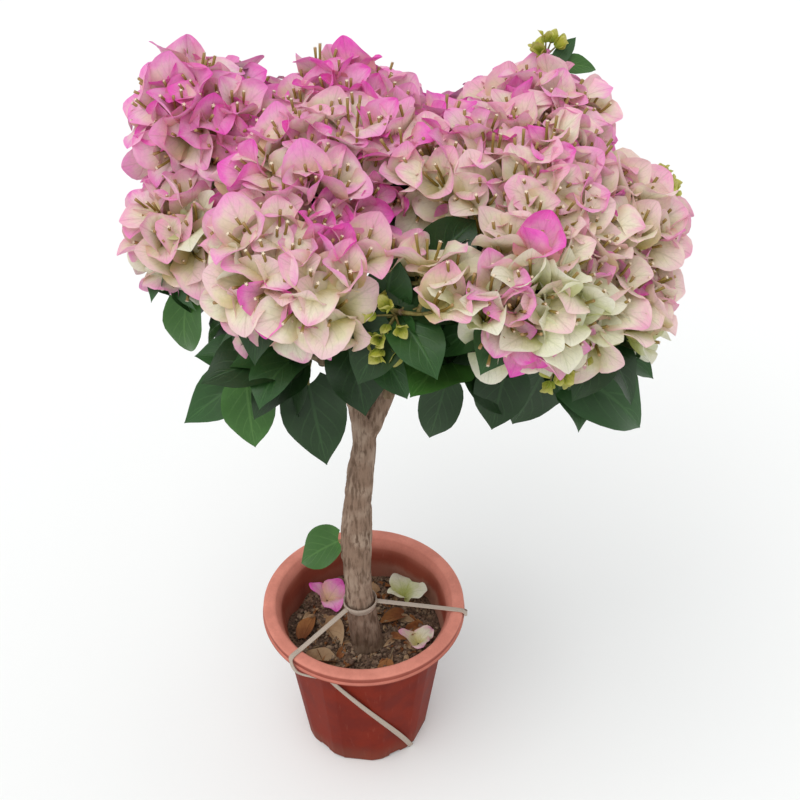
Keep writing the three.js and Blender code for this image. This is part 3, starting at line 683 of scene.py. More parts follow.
# Old bark is dull, with dark furrows along the limb between paler plates, and soil-stained at its foot.
BARK = Grained(
    "furrowed bark", "#6A5444", "#8D7462", "#A58F7D", (4, 4, 22), 26, stain="#5B4B38", stain_band=(158, 205)
)
YOUNG_BARK = Grained("young bark", "#5E4A36", "#7C6850", "#948468", (3, 3, 14), 18)
# Green twigs are smoother, with a slight gloss.
GREEN_TWIG = Grained("green twig", "#6A5A34", "#7E7440", "#8E8A52", (4, 4, 4), 12, roughness=0.6)
# Moist soil is dark and crumbly, with drier pale grains on top.
SOIL = Grained(
    "moist potting soil", "#3C2F26", "#665042", "#8A705A", (3, 3, 3), 16, relief=1.0, specular=0.15
)
CRUMB = Grained("soil crumb", "#46372C", "#776052", "#A68F76", (6, 6, 6), 9, relief=0.6, specular=0.15)


# ---- limbs


@dataclass(frozen=True)
class Limb:
    """A limb's smooth centre line and its radius at even shares of it.

    Attributes:
        stations: Points of the line, shape (n, 3): a centripetal Catmull-Rom curve through them, or
            if bent the three points of a quadratic Bezier curve.
        radii: Radii at even shares of the limb.
        bent: True for the Bezier curve.
    """

    stations: Array
    radii: tuple[float, ...]
    bent: bool = False

    def points(self, share: Any) -> Array:
        """Points at shares of the limb, shape (n, 3)."""
        share = np.atleast_1d(np.asarray(share, float))
        if self.bent:
            return bezier(*self.stations, share[:, None])
        p = self.stations
        knots = np.vstack([2 * p[0] - p[1], p, 2 * p[-1] - p[-2]])
        at = share * (len(p) - 1)
        low = np.minimum(at.astype(int), len(p) - 2)
        w = (at - low)[:, None]
        a, b, c, d = (knots[low + k] for k in range(4))
        e, f, g = (norm(n - m, axis=1, keepdims=True) ** 0.5 for m, n in ((a, b), (b, c), (c, d)))
        leave = ((b - a) / e - (c - a) / (e + f) + (c - b) / f) * f
        reach = ((c - b) / f - (d - b) / (f + g) + (d - c) / g) * f
        return b + leave * w + (3 * (c - b) - 2 * leave - reach) * w**2 + (2 * (b - c) + leave + reach) * w**3

    def tangent(self, share: float) -> Array:
        """The direction of the limb at one share of it."""
        ends = self.points([max(share - 1e-4, 0), min(share + 1e-4, 1)])
        return unit(ends[1] - ends[0])

    def radius(self, share: Any) -> Array:
        """Radii at shares of the limb."""
        return np.interp(share, np.linspace(0, 1, len(self.radii)), self.radii)


def limb_of(rows: Rows) -> Limb:
    """A limb from rows of x, y, z and radius."""
    table = np.array(rows)
    return Limb(table[:, :3], tuple(table[:, 3]))


class Growth(Enum):
    """What a mass of the crown carries."""

    BLOSSOM = "blossom"
    LEAF = "leaf"


@dataclass(frozen=True)
class MassPlan:
    """A mass of the crown: its place, its size, the limb that its bough springs from, and its blush.

    The parent is the trunk, the fork's arm or the mass whose bough it is.
    """

    name: str
    bearing: float
    reach: float
    height: float
    radius: float
    parent: str
    at: float
    blush: float = 0.5
    growth: Growth = Growth.BLOSSOM

    @property
    def centre(self) -> Array:
        """The middle of the mass."""
        return polar(self.bearing, self.reach, self.height) + CROWN_AXIS

    @property
    def pole(self) -> Array:
        """The way from the crown's heart out through the mass."""
        return unit(self.centre - CROWN_AXIS - HEART_HEIGHT * UP)


CROWN_AXIS = np.array([42.0, -5.0, 0.0])
HEART_HEIGHT = 610.0  # of the crown's heart, low on its axis
STEM_RADIUS = 3.6
STEM_TIP = 2.4

TRUNK = limb_of(
    (
        (4, -23, 155.3, 18.6), (3, -22.6, 165, 17.5), (-1, -22, 201, 17), (-4, -22, 243, 15.6),
        (-5, -22, 288, 16), (-4.6, -22, 318, 17), (-4, -22, 340, 17.3), (-2, -22, 375, 15),
        (1, -21.5, 412, 13.8), (5, -21, 448, 12.4), (6, -20, 472, 12.6), (2, -18, 494, 11),
        (-5, -15, 518, 9.6),
    )
)
FORK_ARM = limb_of(((7, -21, 456, 8.5), (15, -21, 480, 10), (24, -21, 505, 9), (33, -21, 530, 8.2)))

MASSES = tuple(
    MassPlan(*row)
    for row in (
        ("crown_top", 351, 30, 750, 70, "fork_arm", 0.9, 0.5),
        ("upper_left", 161, 199, 772, 69, "trunk", 0.98, 0.8),
        ("upper_back", 122, 107, 757, 74, "trunk", 0.96, 0.6),
        ("upper_right", 31, 154, 751, 75, "fork_arm", 0.95, 0.48),
        ("left", 184, 197, 684, 64, "upper_left", 0.3, 0.42),
        ("front_left", 229, 150, 712, 72, "trunk", 0.93, 0.4),
        ("front_middle", 271, 141, 700, 64, "crown_top", 0.2, 0.33),
        ("front_right", 308, 165, 706, 70, "fork_arm", 0.8, 0.2),
        ("right", 353, 198, 700, 67, "upper_right", 0.25, 0.26),
        ("right_low", 332, 198, 650, 62, "front_right", 0.3, 0.15),
        ("back_right", 62, 195, 700, 71, "upper_right", 0.4, 0.58),
        ("back", 100, 192, 700, 71, "upper_back", 0.35, 0.6),
        ("back_left", 141, 187, 692, 70, "upper_back", 0.2, 0.68),
        ("middle_left", 196, 84, 742, 68, "front_left", 0.35, 0.5),
        ("middle_right", 344, 122, 738, 66, "upper_right", 0.15, 0.3),
        ("skirt_front_left", 226, 122, 618, 78, "front_left", 0.25, 0.5, Growth.LEAF),
        ("skirt_front_right", 292, 110, 630, 76, "front_right", 0.2, 0.5, Growth.LEAF),
        ("skirt_right", 341, 148, 594, 74, "right_low", 0.3, 0.5, Growth.LEAF),
        ("skirt_back", 78, 122, 622, 76, "back", 0.12, 0.5, Growth.LEAF),
        ("skirt_left", 172, 146, 618, 76, "left", 0.2, 0.5, Growth.LEAF),
    )
)


def bough_of(plan: MassPlan, parent: Limb) -> Limb:
    """One bough from its parent to the point where it enters its mass.

    It ends 0.55 of the mass's radius short of the centre, and bends up from the parent's own way.
    """
    start = parent.points(plan.at)[0]
    centre = plan.centre
    end = centre + (start - centre) * 0.55 * plan.radius / norm(centre - start)
    span = norm(end - start)
    bend = start + parent.tangent(plan.at) * span * 0.3
    bend = lerp(bend, end, 0.25) + UP * span * 0.06
    r0 = float(min(parent.radius(plan.at) * 0.72, 7.2))
    return Limb(np.stack([start, bend, end]), (r0, r0 * 0.84, r0 * 0.7, max(r0 * 0.55, STEM_RADIUS)), True)


def grow_limbs() -> dict[str, Limb]:
    """The trunk, the fork's arm and every bough, by its mass's name."""
    limbs = {"trunk": TRUNK, "fork_arm": FORK_ARM}
    for plan in MASSES:
        limbs[plan.name] = bough_of(plan, limbs[plan.parent])
    return limbs


@dataclass(frozen=True)
class Knot:
    """A healed branch stub on the trunk: a swelling with a sunken, ringed middle."""

    height: float
    bearing: float
    width: float
    rise: float


@dataclass
class Wood:
    """The trunk, the fork's arm and the boughs, with the relief of their bark."""

    trunk_sides: int = 128
    trunk_steps: int = 300
    arm_steps: int = 90
    bough_sides: int = 24
    bough_steps: int = 46
    furrow: Triple = (5.0, 5.0, 30.0)  # the noise's cells, as lump's
    furrow_depth: float = 1.5
    bough_furrow: float = 0.9
    lump: Triple = (15.0, 15.0, 34.0)
    lump_height: float = 2.2
    flare_height: float = 16.0
    knots: tuple[Knot, ...] = (
        Knot(341, 262, 7.5, 3.2),
        Knot(331, 300, 6.5, 2.6),
        Knot(300, 215, 6.0, 2.4),
        Knot(312, 150, 7.0, 3.0),
        Knot(405, 290, 6.0, 2.0),
        Knot(268, 330, 5.5, 1.8),
        Knot(446, 262, 7.0, 2.2),
        Knot(380, 60, 7.0, 2.4),
    )

    def bark(self, grid: Array, centre: Array, radius: Array, depth: float) -> Array:
        """Moves a tube's points out by lumps and in by furrows along the limb.

        A furrow is where one noise, drawn out along Z, passes its middle value: |2n - 1| near 0.
        """
        out = unit(grid - centre[:, None])
        lumps = noise(grid, self.lump, 3.0) - 0.55
        folds = np.abs(2 * noise(grid, self.furrow, 5.0) - 1)
        fine = np.abs(2 * noise(grid, np.array(self.furrow) * 0.45, 8.0) - 1)
        rise = lumps * self.lump_height - depth * (np.exp(-folds * 5.0) + 0.45 * np.exp(-fine * 4.0))
        return grid + out * (rise * np.minimum(radius / 15.0, 1.0)[:, None])[..., None]

    def swell(self, grid: Array, centre: Array) -> Array:
        """Raises the knots, and the root flare's three lobes at the foot."""
        out = unit(grid - centre[:, None])
        bearing = np.arctan2(out[..., 1], out[..., 0])
        height = grid[..., 2]
        rise = np.zeros(height.shape)
        for knot in self.knots:
            turn = np.angle(np.exp(1j * (bearing - knot.bearing * DEG)))
            away = np.hypot(turn * 15.0, height - knot.height) / knot.width
            rise += knot.rise * (np.exp(-(away**2)) - 0.75 * np.exp(-((away * 2.6) ** 2)))
            rise += 0.35 * np.cos(away * 7) * np.exp(-((away - 1) ** 2) * 2)
        foot = np.exp(-(height - height.min()) / self.flare_height)
        rise += foot * (1.2 + 1.8 * np.cos(3 * bearing + 0.6))
        return grid + out * rise[..., None]

    def tube(self, stock: Stock, limb: Limb, sides: int, steps: int, depth: float, knots: bool) -> None:
        """Adds a limb with its bark to a stock."""
        share = np.linspace(0, 1, steps)
        path, radius = limb.points(share), limb.radius(share)
        grid = tubes(path[None], radius[None], sides)[0]
        grid = self.bark(grid, path, radius, depth)
        if knots:
            grid = self.swell(grid, path)
            grid[0, :, 2] = path[0, 2]
        stock.grids(grid[None], wrap=True, poles=path[None, [0, -1]])

    def build(self, limbs: dict[str, Limb]) -> None:
        """Makes the trunk with the fork's arm, and the boughs with a collar at each foot."""
        stock = Stock()
        for name, steps in (("trunk", self.trunk_steps), ("fork_arm", self.arm_steps)):
            self.tube(stock, limbs[name], self.trunk_sides, steps, self.furrow_depth, name == "trunk")
        place("trunk_bark", stock, BARK.material(), "bark", "trunk")

        stock = Stock()
        for plan in MASSES:
            bough = limbs[plan.name]
            r = bough.radii
            taper = (lerp(r[0], r[-1], k / 6) for k in range(1, 7))
            collared = Limb(bough.stations, (r[0] * 1.25, r[0] * 0.97, *taper), True)
            self.tube(stock, collared, self.bough_sides, self.bough_steps, self.bough_furrow, False)
        nodes = (f"bough_{plan.name}" for plan in MASSES)
        place("bough_bark", stock, YOUNG_BARK.material(), "bark", *nodes)


# ---- bracts and leaves


def tile_spots(variant: Array, rows: Array, columns: Array) -> Array:
    """UV of blades, each in one of the square's four tiles: U across from -1 to 1, V from 0 to 1."""
    room = TILE - 2 * TILE_RIM
    u = (variant % 2)[:, None, None] * TILE + TILE_RIM + room * (columns + 1)[None, None, :] / 2
    v = (variant // 2)[:, None, None] * TILE + TILE_RIM + room * rows[None, :, None]
    return np.stack(np.broadcast_arrays(u, v), axis=-1)


def walk(heading: Array, rows: Array, length: Array) -> Two:
    """Distances along and off an axis of a curve whose heading off that axis is given.

    Args:
        heading: Radians at each row, shape (n, rows).
        rows: Shares of the curve's length.
        length: The curve's length, (n,).

    Returns:
        The sums of cos and of sin of the heading over the curve, (n, rows) each.
    """
    middle = (heading[:, 1:] + heading[:, :-1]) / 2
    step = np.diff(rows) * length[:, None]
    start = np.zeros((len(heading), 1))
    along = np.concatenate([start, np.cumsum(np.cos(middle) * step, axis=1)], axis=1)
    off = np.concatenate([start, np.cumsum(np.sin(middle) * step, axis=1)], axis=1)
    return along, off


def each(a: Array) -> Array:
    """One number a blade, ready to meet rows and columns."""
    return a[:, None, None]


def shares(rows: int, columns: int) -> Two:
    """Shares of a blade's length, closer at both ends, and of its half width from -1 to 1."""
    return 0.5 - 0.5 * np.cos(np.linspace(0, math.pi, rows)), np.linspace(-1, 1, columns)


@dataclass
class Blades:
    """Many of one kind, with an array for each measure and a row in it for each one."""

    def arrays(self) -> dict[str, Array]:
        """The measures, by name."""
        return {name: value for name, value in vars(self).items() if isinstance(value, np.ndarray)}

    def pick(self, mask: Array) -> Any:
        """Those where mask is true."""
        return replace(self, **{name: value[mask] for name, value in self.arrays().items()})


@dataclass
class Flowers(Blades):
    """Flower heads. Each has three bracts round a common base, and three slender tubes within them.

    Attributes:
        base: Where the twig ends, (n, 3).
        axis: The way the flower looks, (n, 3).
        turn: Its turn about the axis in radians, (n,).
        size: A bract's length, (n,).
        openness: 0 for shut to 1 for wide open, (n,).
        number: A number that tells the flower from all others, (n,).
    """

    base: Array
    axis: Array
    turn: Array
    size: Array
    openness: Array
    number: Array
    rows: int = 13
    columns: int = 9
    width: float = 0.92  # of the length
    tube_length: Pair = (0.58, 0.78)  # of the bract's, least and most
    tube_radii: tuple[float, ...] = (0.9, 1.4, 1.3, 1.2, 1.55)
    tube_foot: float = 1.6  # out from the flower's middle
    starred: float = 0.55  # share of the tubes that end in an open star

    def lobes(self) -> tuple[Array, ...]:
        """For each of the three lobes of each flower: base, axis, way out, openness and number."""
        lobe = np.tile(np.arange(3), len(self.base))
        whole = (self.base, self.axis, self.turn, self.openness, self.number)
        base, axis, turn, openness, number = (np.repeat(a, 3, axis=0) for a in whole)
        number = number * 3 + lobe
        side, other = across(axis)
        angle = turn + lobe * 2 * math.pi / 3 + (dice(number, 1) - 0.5) * 0.4
        radial = np.cos(angle)[:, None] * side + np.sin(angle)[:, None] * other
        return base, axis, radial, openness, number

    def bracts(self, stock: Stock) -> None:
        """Adds every bract to a stock.

        The midrib's heading turns from near the flower's axis at the foot to far from it at the tip. The
        width is sin(pi u^0.8)^0.52, drawn in at the tip. Across, the bract is a shallow trough, rolled a
        little so that each tucks under the next, with a wave along its margins.
        """
        base, axis, radial, openness, number = self.lobes()
        luck = [dice(number, k) for k in range(9)]
        length = np.repeat(self.size, 3) * lerp(0.88, 1.1, luck[2])
        u, v = shares(self.rows, self.columns)
        first = lerp(6, 36, openness) * DEG
        last = (lerp(20, 84, openness) + lerp(-24, 38, luck[3])) * DEG
        heading = first[:, None] + (last - first)[:, None] * u**1.1
        rise, out = walk(heading, u, length)
        shape = np.sin(math.pi * u**0.8) ** 0.52 * (1 - 0.35 * u**9)
        half = 0.5 * self.width * length[:, None] * np.maximum(shape, 0.025)
        lateral = np.cross(axis, radial)
        inward = -np.cos(heading)[..., None] * radial[:, None] + np.sin(heading)[..., None] * axis[:, None]
        phase = each(luck[5]) * 6.3 + (v > 0) * each(luck[6]) * 6.3
        ripple = np.sin(2 * math.pi * each(lerp(0.9, 1.7, luck[4])) * u[:, None] + phase)
        trough = each(lerp(0.42, 0.12, openness) * lerp(0.5, 1.5, luck[7]))
        roll = 0.2 + 0.2 * (each(luck[8]) - 0.5)
        lift = trough * v**2 + roll * v + 0.28 * np.abs(v) ** 1.5 * ripple * (0.35 + 0.65 * u[:, None])
        lift = half[..., None] * lift
        sideways = half[..., None] * v * (1 - 0.3 * trough * v**2)
        line = base[:, None] + radial[:, None] * (out[..., None] + 1.2) + axis[:, None] * rise[..., None]
        points = line[:, :, None] + lateral[:, None, None] * sideways[..., None]
        points = points + inward[:, :, None] * lift[..., None]
        stock.grids(points, tile_spots((luck[1] * 4).astype(int), u, v))

    def tube_lines(self) -> tuple[Array, ...]:
        """Where each of the three tubes of each flower starts, bends and ends, and the way it points."""
        base, axis, radial, openness, number = self.lobes()
        lean = lerp(0.1, 0.5, openness * dice(number, 11))[:, None]
        way = unit(axis + radial * lean)
        length = (np.repeat(self.size, 3) * lerp(*self.tube_length, dice(number, 12)))[:, None]
        start = base + radial * self.tube_foot
        return start, start + unit(way + radial * 0.15) * length * 0.5, start + way * length, way

    def tubes(self, stock: Stock) -> None:
        """Adds the three tubes of each flower to a stock, each with a waist and a flared mouth."""
        start, bend, end, _ = self.tube_lines()
        path = arc(start, bend, end, len(self.tube_radii))
        grid = tubes(path, np.tile(np.array(self.tube_radii), (len(path), 1)), 5)
        spots = np.stack(np.meshgrid(np.linspace(0.1, 0.4, 6), np.linspace(0.02, 0.48, 5)), axis=-1)
        stock.grids(grid, spots, wrap=True, poles=path[:, [0, -1]])

    def stars(self, stock: Stock) -> None:
        """Adds the small five-lobed star that opens at the end of some tubes.

        Its rim's radius is 0.7 + 0.3 cos 5a of its full one, and it lies in a shallow cup.
        """
        count = self.lobes()[4]
        opened = dice(count, 21) < self.starred
        tips, ways, count = (a[opened] for a in (*self.tube_lines()[2:], count))
        side, other = across(ways)
        angle = -np.arange(10) / 10 * 2 * math.pi
        full = lerp(1.6, 2.6, dice(count, 22))[:, None, None]
        reach = np.array([0.35, 1.0])[:, None] * (0.7 + 0.3 * np.cos(5 * angle)) * full
        rise = np.array([0.1, 0.6])[:, None] * np.ones(10) * full * 0.6
        ring = np.cos(angle)[:, None] * side[:, None] + np.sin(angle)[:, None] * other[:, None]
        points = tips[:, None, None] + ring[:, None] * reach[..., None]
        points = points + ways[:, None, None] * rise[..., None]
        under = tips - ways * 0.3
        over = tips + ways * 0.8
        shut = np.concatenate([points, (points[:, 1:] + over[:, None, None]) / 2], axis=1)
        spots = np.stack(np.meshgrid(np.linspace(0.1, 0.4, 11), np.array([0.05, 0.45, 0.25])), axis=-1)
        stock.grids(shut, spots, wrap=True, poles=np.stack([under, over], axis=1))


# A leaf's outline: shares of its length, and of its width there.
LEAF_OUTLINE = (
    (0, 0.05, 0.12, 0.22, 0.34, 0.48, 0.62, 0.75, 0.85, 0.93, 1),
    (0.42, 0.7, 0.89, 0.99, 1, 0.93, 0.77, 0.53, 0.3, 0.13, 0),
)


@dataclass
class Leaves(Blades):
    """Leaf blades.

    Attributes:
        base: Where the stalk meets the blade, (n, 3).
        along: The way from the base to the tip, (n, 3).
        face: The way the upper side looks, (n, 3).
        length: The blade's length, (n,).
        width: Its width, (n,).
        number: A number that tells the leaf from all others, (n,).
        curl: How far the margins roll up.
        sag: How far the tip turns down, in degrees.
        fold: How far the halves fold up from the midrib.
    """

    base: Array
    along: Array
    face: Array
    length: Array
    width: Array
    number: Array
    curl: float = 0.12
    sag: float = 28.0
    fold: float = 0.22
    rows: int = 15
    columns: int = 11

    def blades(self, stock: Stock) -> None:
        """Adds every blade to a stock.

        The midrib turns down towards its tip. The width follows the outline of a heart with a drip tip,
        whose two lobes reach back past the stalk. Across, the halves fold up from the midrib, roll a
        little and wave.
        """
        luck = [dice(self.number, k) for k in range(31, 38)]
        u, v = shares(self.rows, self.columns)
        along = unit(self.along)
        up = unit(self.face - dot(self.face, along) * along)
        heading = (self.sag * lerp(0.3, 1.6, luck[0]) * DEG)[:, None] * (u**1.3 * 1.5 - 0.25)
        ahead, down = walk(heading, u, self.length)
        shape = np.interp(u, *LEAF_OUTLINE)
        half = 0.5 * self.width[:, None] * np.maximum(shape, 0.02)
        normal = np.cos(heading)[..., None] * up[:, None] + np.sin(heading)[..., None] * along[:, None]
        side = np.cross(up, along)
        phase = each(luck[1]) * 6.3 + (v > 0) * 2.2
        ripple = np.sin(2 * math.pi * each(lerp(1.0, 1.9, luck[2])) * u[:, None] + phase)
        fold = self.fold * each(lerp(0.3, 1.5, luck[3]))
        lift = fold * np.abs(v) + self.curl * each(luck[4]) * v**2 + 0.12 * v**2 * ripple
        lift = half[..., None] * lift
        back = 0.11 * np.abs(v) ** 1.7 * ((1 - u) ** 4)[:, None] * each(self.length)
        line = self.base[:, None] + along[:, None] * ahead[..., None] - up[:, None] * down[..., None]
        points = line[:, :, None] + side[:, None, None] * (half[..., None] * v)[..., None]
        points = points + normal[:, :, None] * lift[..., None] - along[:, None, None] * back[..., None]
        stock.grids(points, tile_spots((luck[5] * 4).astype(int), u, v))


@dataclass
class Twigs:
    """Twigs gathered while the crown grows: from, to, the way they arrive, and their end radii."""

    rows: list[tuple[Array, Array, Array, float, float]] = field(default_factory=list)
    stations: int = 6
    sides: int = 5

    def add(self, start: Array, end: Array, way: Array, thick: float, thin: float) -> None:
        """Adds a twig that arrives at end along way."""
        self.rows.append((start, end, way, thick, thin))

    def build(self, stock: Stock) -> None:
        """Adds every twig as a bent, tapering tube: a quadratic Bezier curve that arrives along its way."""
        start, end, way = (np.stack([row[k] for row in self.rows]) for k in range(3))
        thick, thin = (np.array([row[k] for row in self.rows])[:, None] for k in (3, 4))
        span = norm(end - start, axis=1, keepdims=True)
        bend = lerp(start, end, 0.5) * 0.45 + (end - unit(way) * span * 0.5) * 0.55
        path = arc(start, bend, end, self.stations)
        radii = lerp(thick, thin, np.linspace(0, 1, self.stations))
        stock.grids(tubes(path, radii, self.sides), wrap=True, poles=path[:, [0, -1]])


# ---- crown


@dataclass(frozen=True)
class ShownLeaf:
    """A listed leaf: where its blade starts and ends, its width, the way it faces, its tone."""

    base: Triple
    tip: Triple
    width: float
    face: Triple
    tone: LeafTone


DARK, DEEP, MID, FRESH = LeafTone
SHOWN_LEAVES = tuple(
    ShownLeaf(*row)
    for row in (
        ((-155, -15, 624), (-166, -30, 560), 40, (-0.3, -0.9, 0.3), MID),
        ((-88, -60, 574), (-160, -86, 534), 50, (-0.2, -0.75, 0.65), DEEP),
        ((-96, -85, 577), (-90, -114, 525), 50, (0, -0.8, 0.6), MID),
        ((-39, -95, 586), (-24, -122, 515), 60, (0, -0.8, 0.6), DARK),
        ((-83, -50, 577), (-144, -60, 598), 44, (-0.1, -0.5, 0.85), DEEP),
        ((1, -95, 631), (13, -127, 578), 56, (0.1, -0.75, 0.65), DARK),
        ((19, -112, 646), (54, -142, 609), 44, (0.35, -0.7, 0.6), DEEP),
        ((30, -136, 696), (39, -128, 740), 42, (0.1, -0.8, 0.6), DEEP),
        ((38, -148, 680), (10, -160, 668), 22, (-0.1, -0.7, 0.7), FRESH),
        ((70, -112, 728), (104, -100, 758), 46, (0.1, -0.8, 0.6), DARK),
        ((122, -135, 692), (70, -156, 665), 40, (-0.2, -0.6, 0.75), DEEP),
        ((104, -112, 662), (53, -136, 628), 50, (-0.2, -0.7, 0.65), DARK),
        ((84, -80, 577), (70, -97, 521), 40, (0, -0.9, 0.4), DARK),
        ((136, -92, 603), (126, -114, 552), 50, (0, -0.85, 0.5), DARK),
        ((110, -88, 604), (152, -104, 560), 46, (0.2, -0.8, 0.55), DARK),
        ((184, -73, 596), (279, -93, 540), 72, (0.3, -0.65, 0.7), DEEP),
        ((263, -58, 660), (255, -68, 624), 40, (0.3, -0.7, 0.6), FRESH),
        ((190, 108, 800), (222, 114, 796), 20, (0.1, -0.6, 0.8), MID),
        ((182, 108, 804), (200, 120, 822), 15, (0.2, -0.7, 0.7), DEEP),
        ((280, -2, 684), (302, -4, 672), 18, (0.3, -0.6, 0.7), DEEP),
    )
)


def leaves_at(shown: tuple[ShownLeaf, ...], first: float, stretch: float = 1.0, **detail: int) -> Leaves:
    """Listed leaves, numbered from first.

    A blade's length along its curve is stretch times the way between its ends, and detail gives its
    rows and columns.
    """
    ends = ([getattr(leaf, part) for leaf in shown] for part in ("base", "tip", "face"))
    base, tip, face = (np.array(rows, float) for rows in ends)
    length = norm(tip - base, axis=1) * stretch
    width = np.array([leaf.width for leaf in shown], float)
    return Leaves(base, unit(tip - base), face, length, width, first + np.arange(len(shown)), **detail)


@dataclass(frozen=True)
class LeafRule:
    """How a mass carries its leaves: spread from a pole, on short shoots from its middle."""

    count: int
    fan: float  # degrees from the pole to the last leaf
    turn: float  # added to the mass's seed, to turn the pattern
    start: Pair  # shares of the radius between which the blades start
    hang: float
    tones: tuple[float, ...]  # shares of the leaves up to each tone's last


INNER_LEAVES = LeafRule(14, 100.0, 2, (0.02, 0.26), 0.1, (0.6,))
SKIRT_LEAVES = LeafRule(12, 105.0, 0, (0.14, 0.34), 0.35, (0.45, 0.88))


@dataclass
class Mass:
    """A mass as it grows: its plan, its bough's tip, and the joints that a twig can spring from."""

    plan: MassPlan
    tip: Array
    seed: int
    end: Array = field(init=False)
    joints: list[Array] = field(init=False)

    def __post_init__(self) -> None:
        """Sets the stem's end, just past the centre, and its first joints."""
        self.end = self.plan.centre + self.plan.pole * self.plan.radius * 0.1
        self.joints = [lerp(self.tip, self.end, share) for share in (0.45, 0.7, 0.95)]

    def nearest(self, point: Array) -> Array:
        """The joint nearest to a point."""
        return min(self.joints, key=lambda joint: float(norm(joint - point)))

    def branch(self, start: Array, end: Array) -> None:
        """Adds the joint of a twig that grew, a little past its middle."""
        self.joints.append(lerp(start, end, 0.55))


def nearest_mass(masses: list[Mass], point: Array) -> Mass:
    """The mass whose nearest joint is nearest to a point."""
    return min(masses, key=lambda mass: float(norm(mass.nearest(point) - point)))


def beyond(points: Array, own: MassPlan) -> Array:
    """How far each point lies past the walls of a mass's own cell, 0 or less inside it.

    The wall between two masses is where their distances, squared and less their radii squared, agree.
    """
    far = np.full(len(points), -math.inf)
    for other in MASSES:
        if other.name == own.name:
            continue
        between = other.centre - own.centre
        span = norm(between)
        wall = (span**2 + own.radius**2 - other.radius**2) / (2 * span) - GAP
        far = np.maximum(far, (points - own.centre) @ (between / span) - wall)
    return far


def within(points: Array, places: Rows, margin: float = 0.0) -> Array:
    """Which points lie in one of the places, each x, y, z and radius, or within a margin of one."""
    spots = np.array(places)
    away = norm(points[:, None] - spots[:, :3], axis=2)
    return (away < spots[:, 3] + margin).any(1)


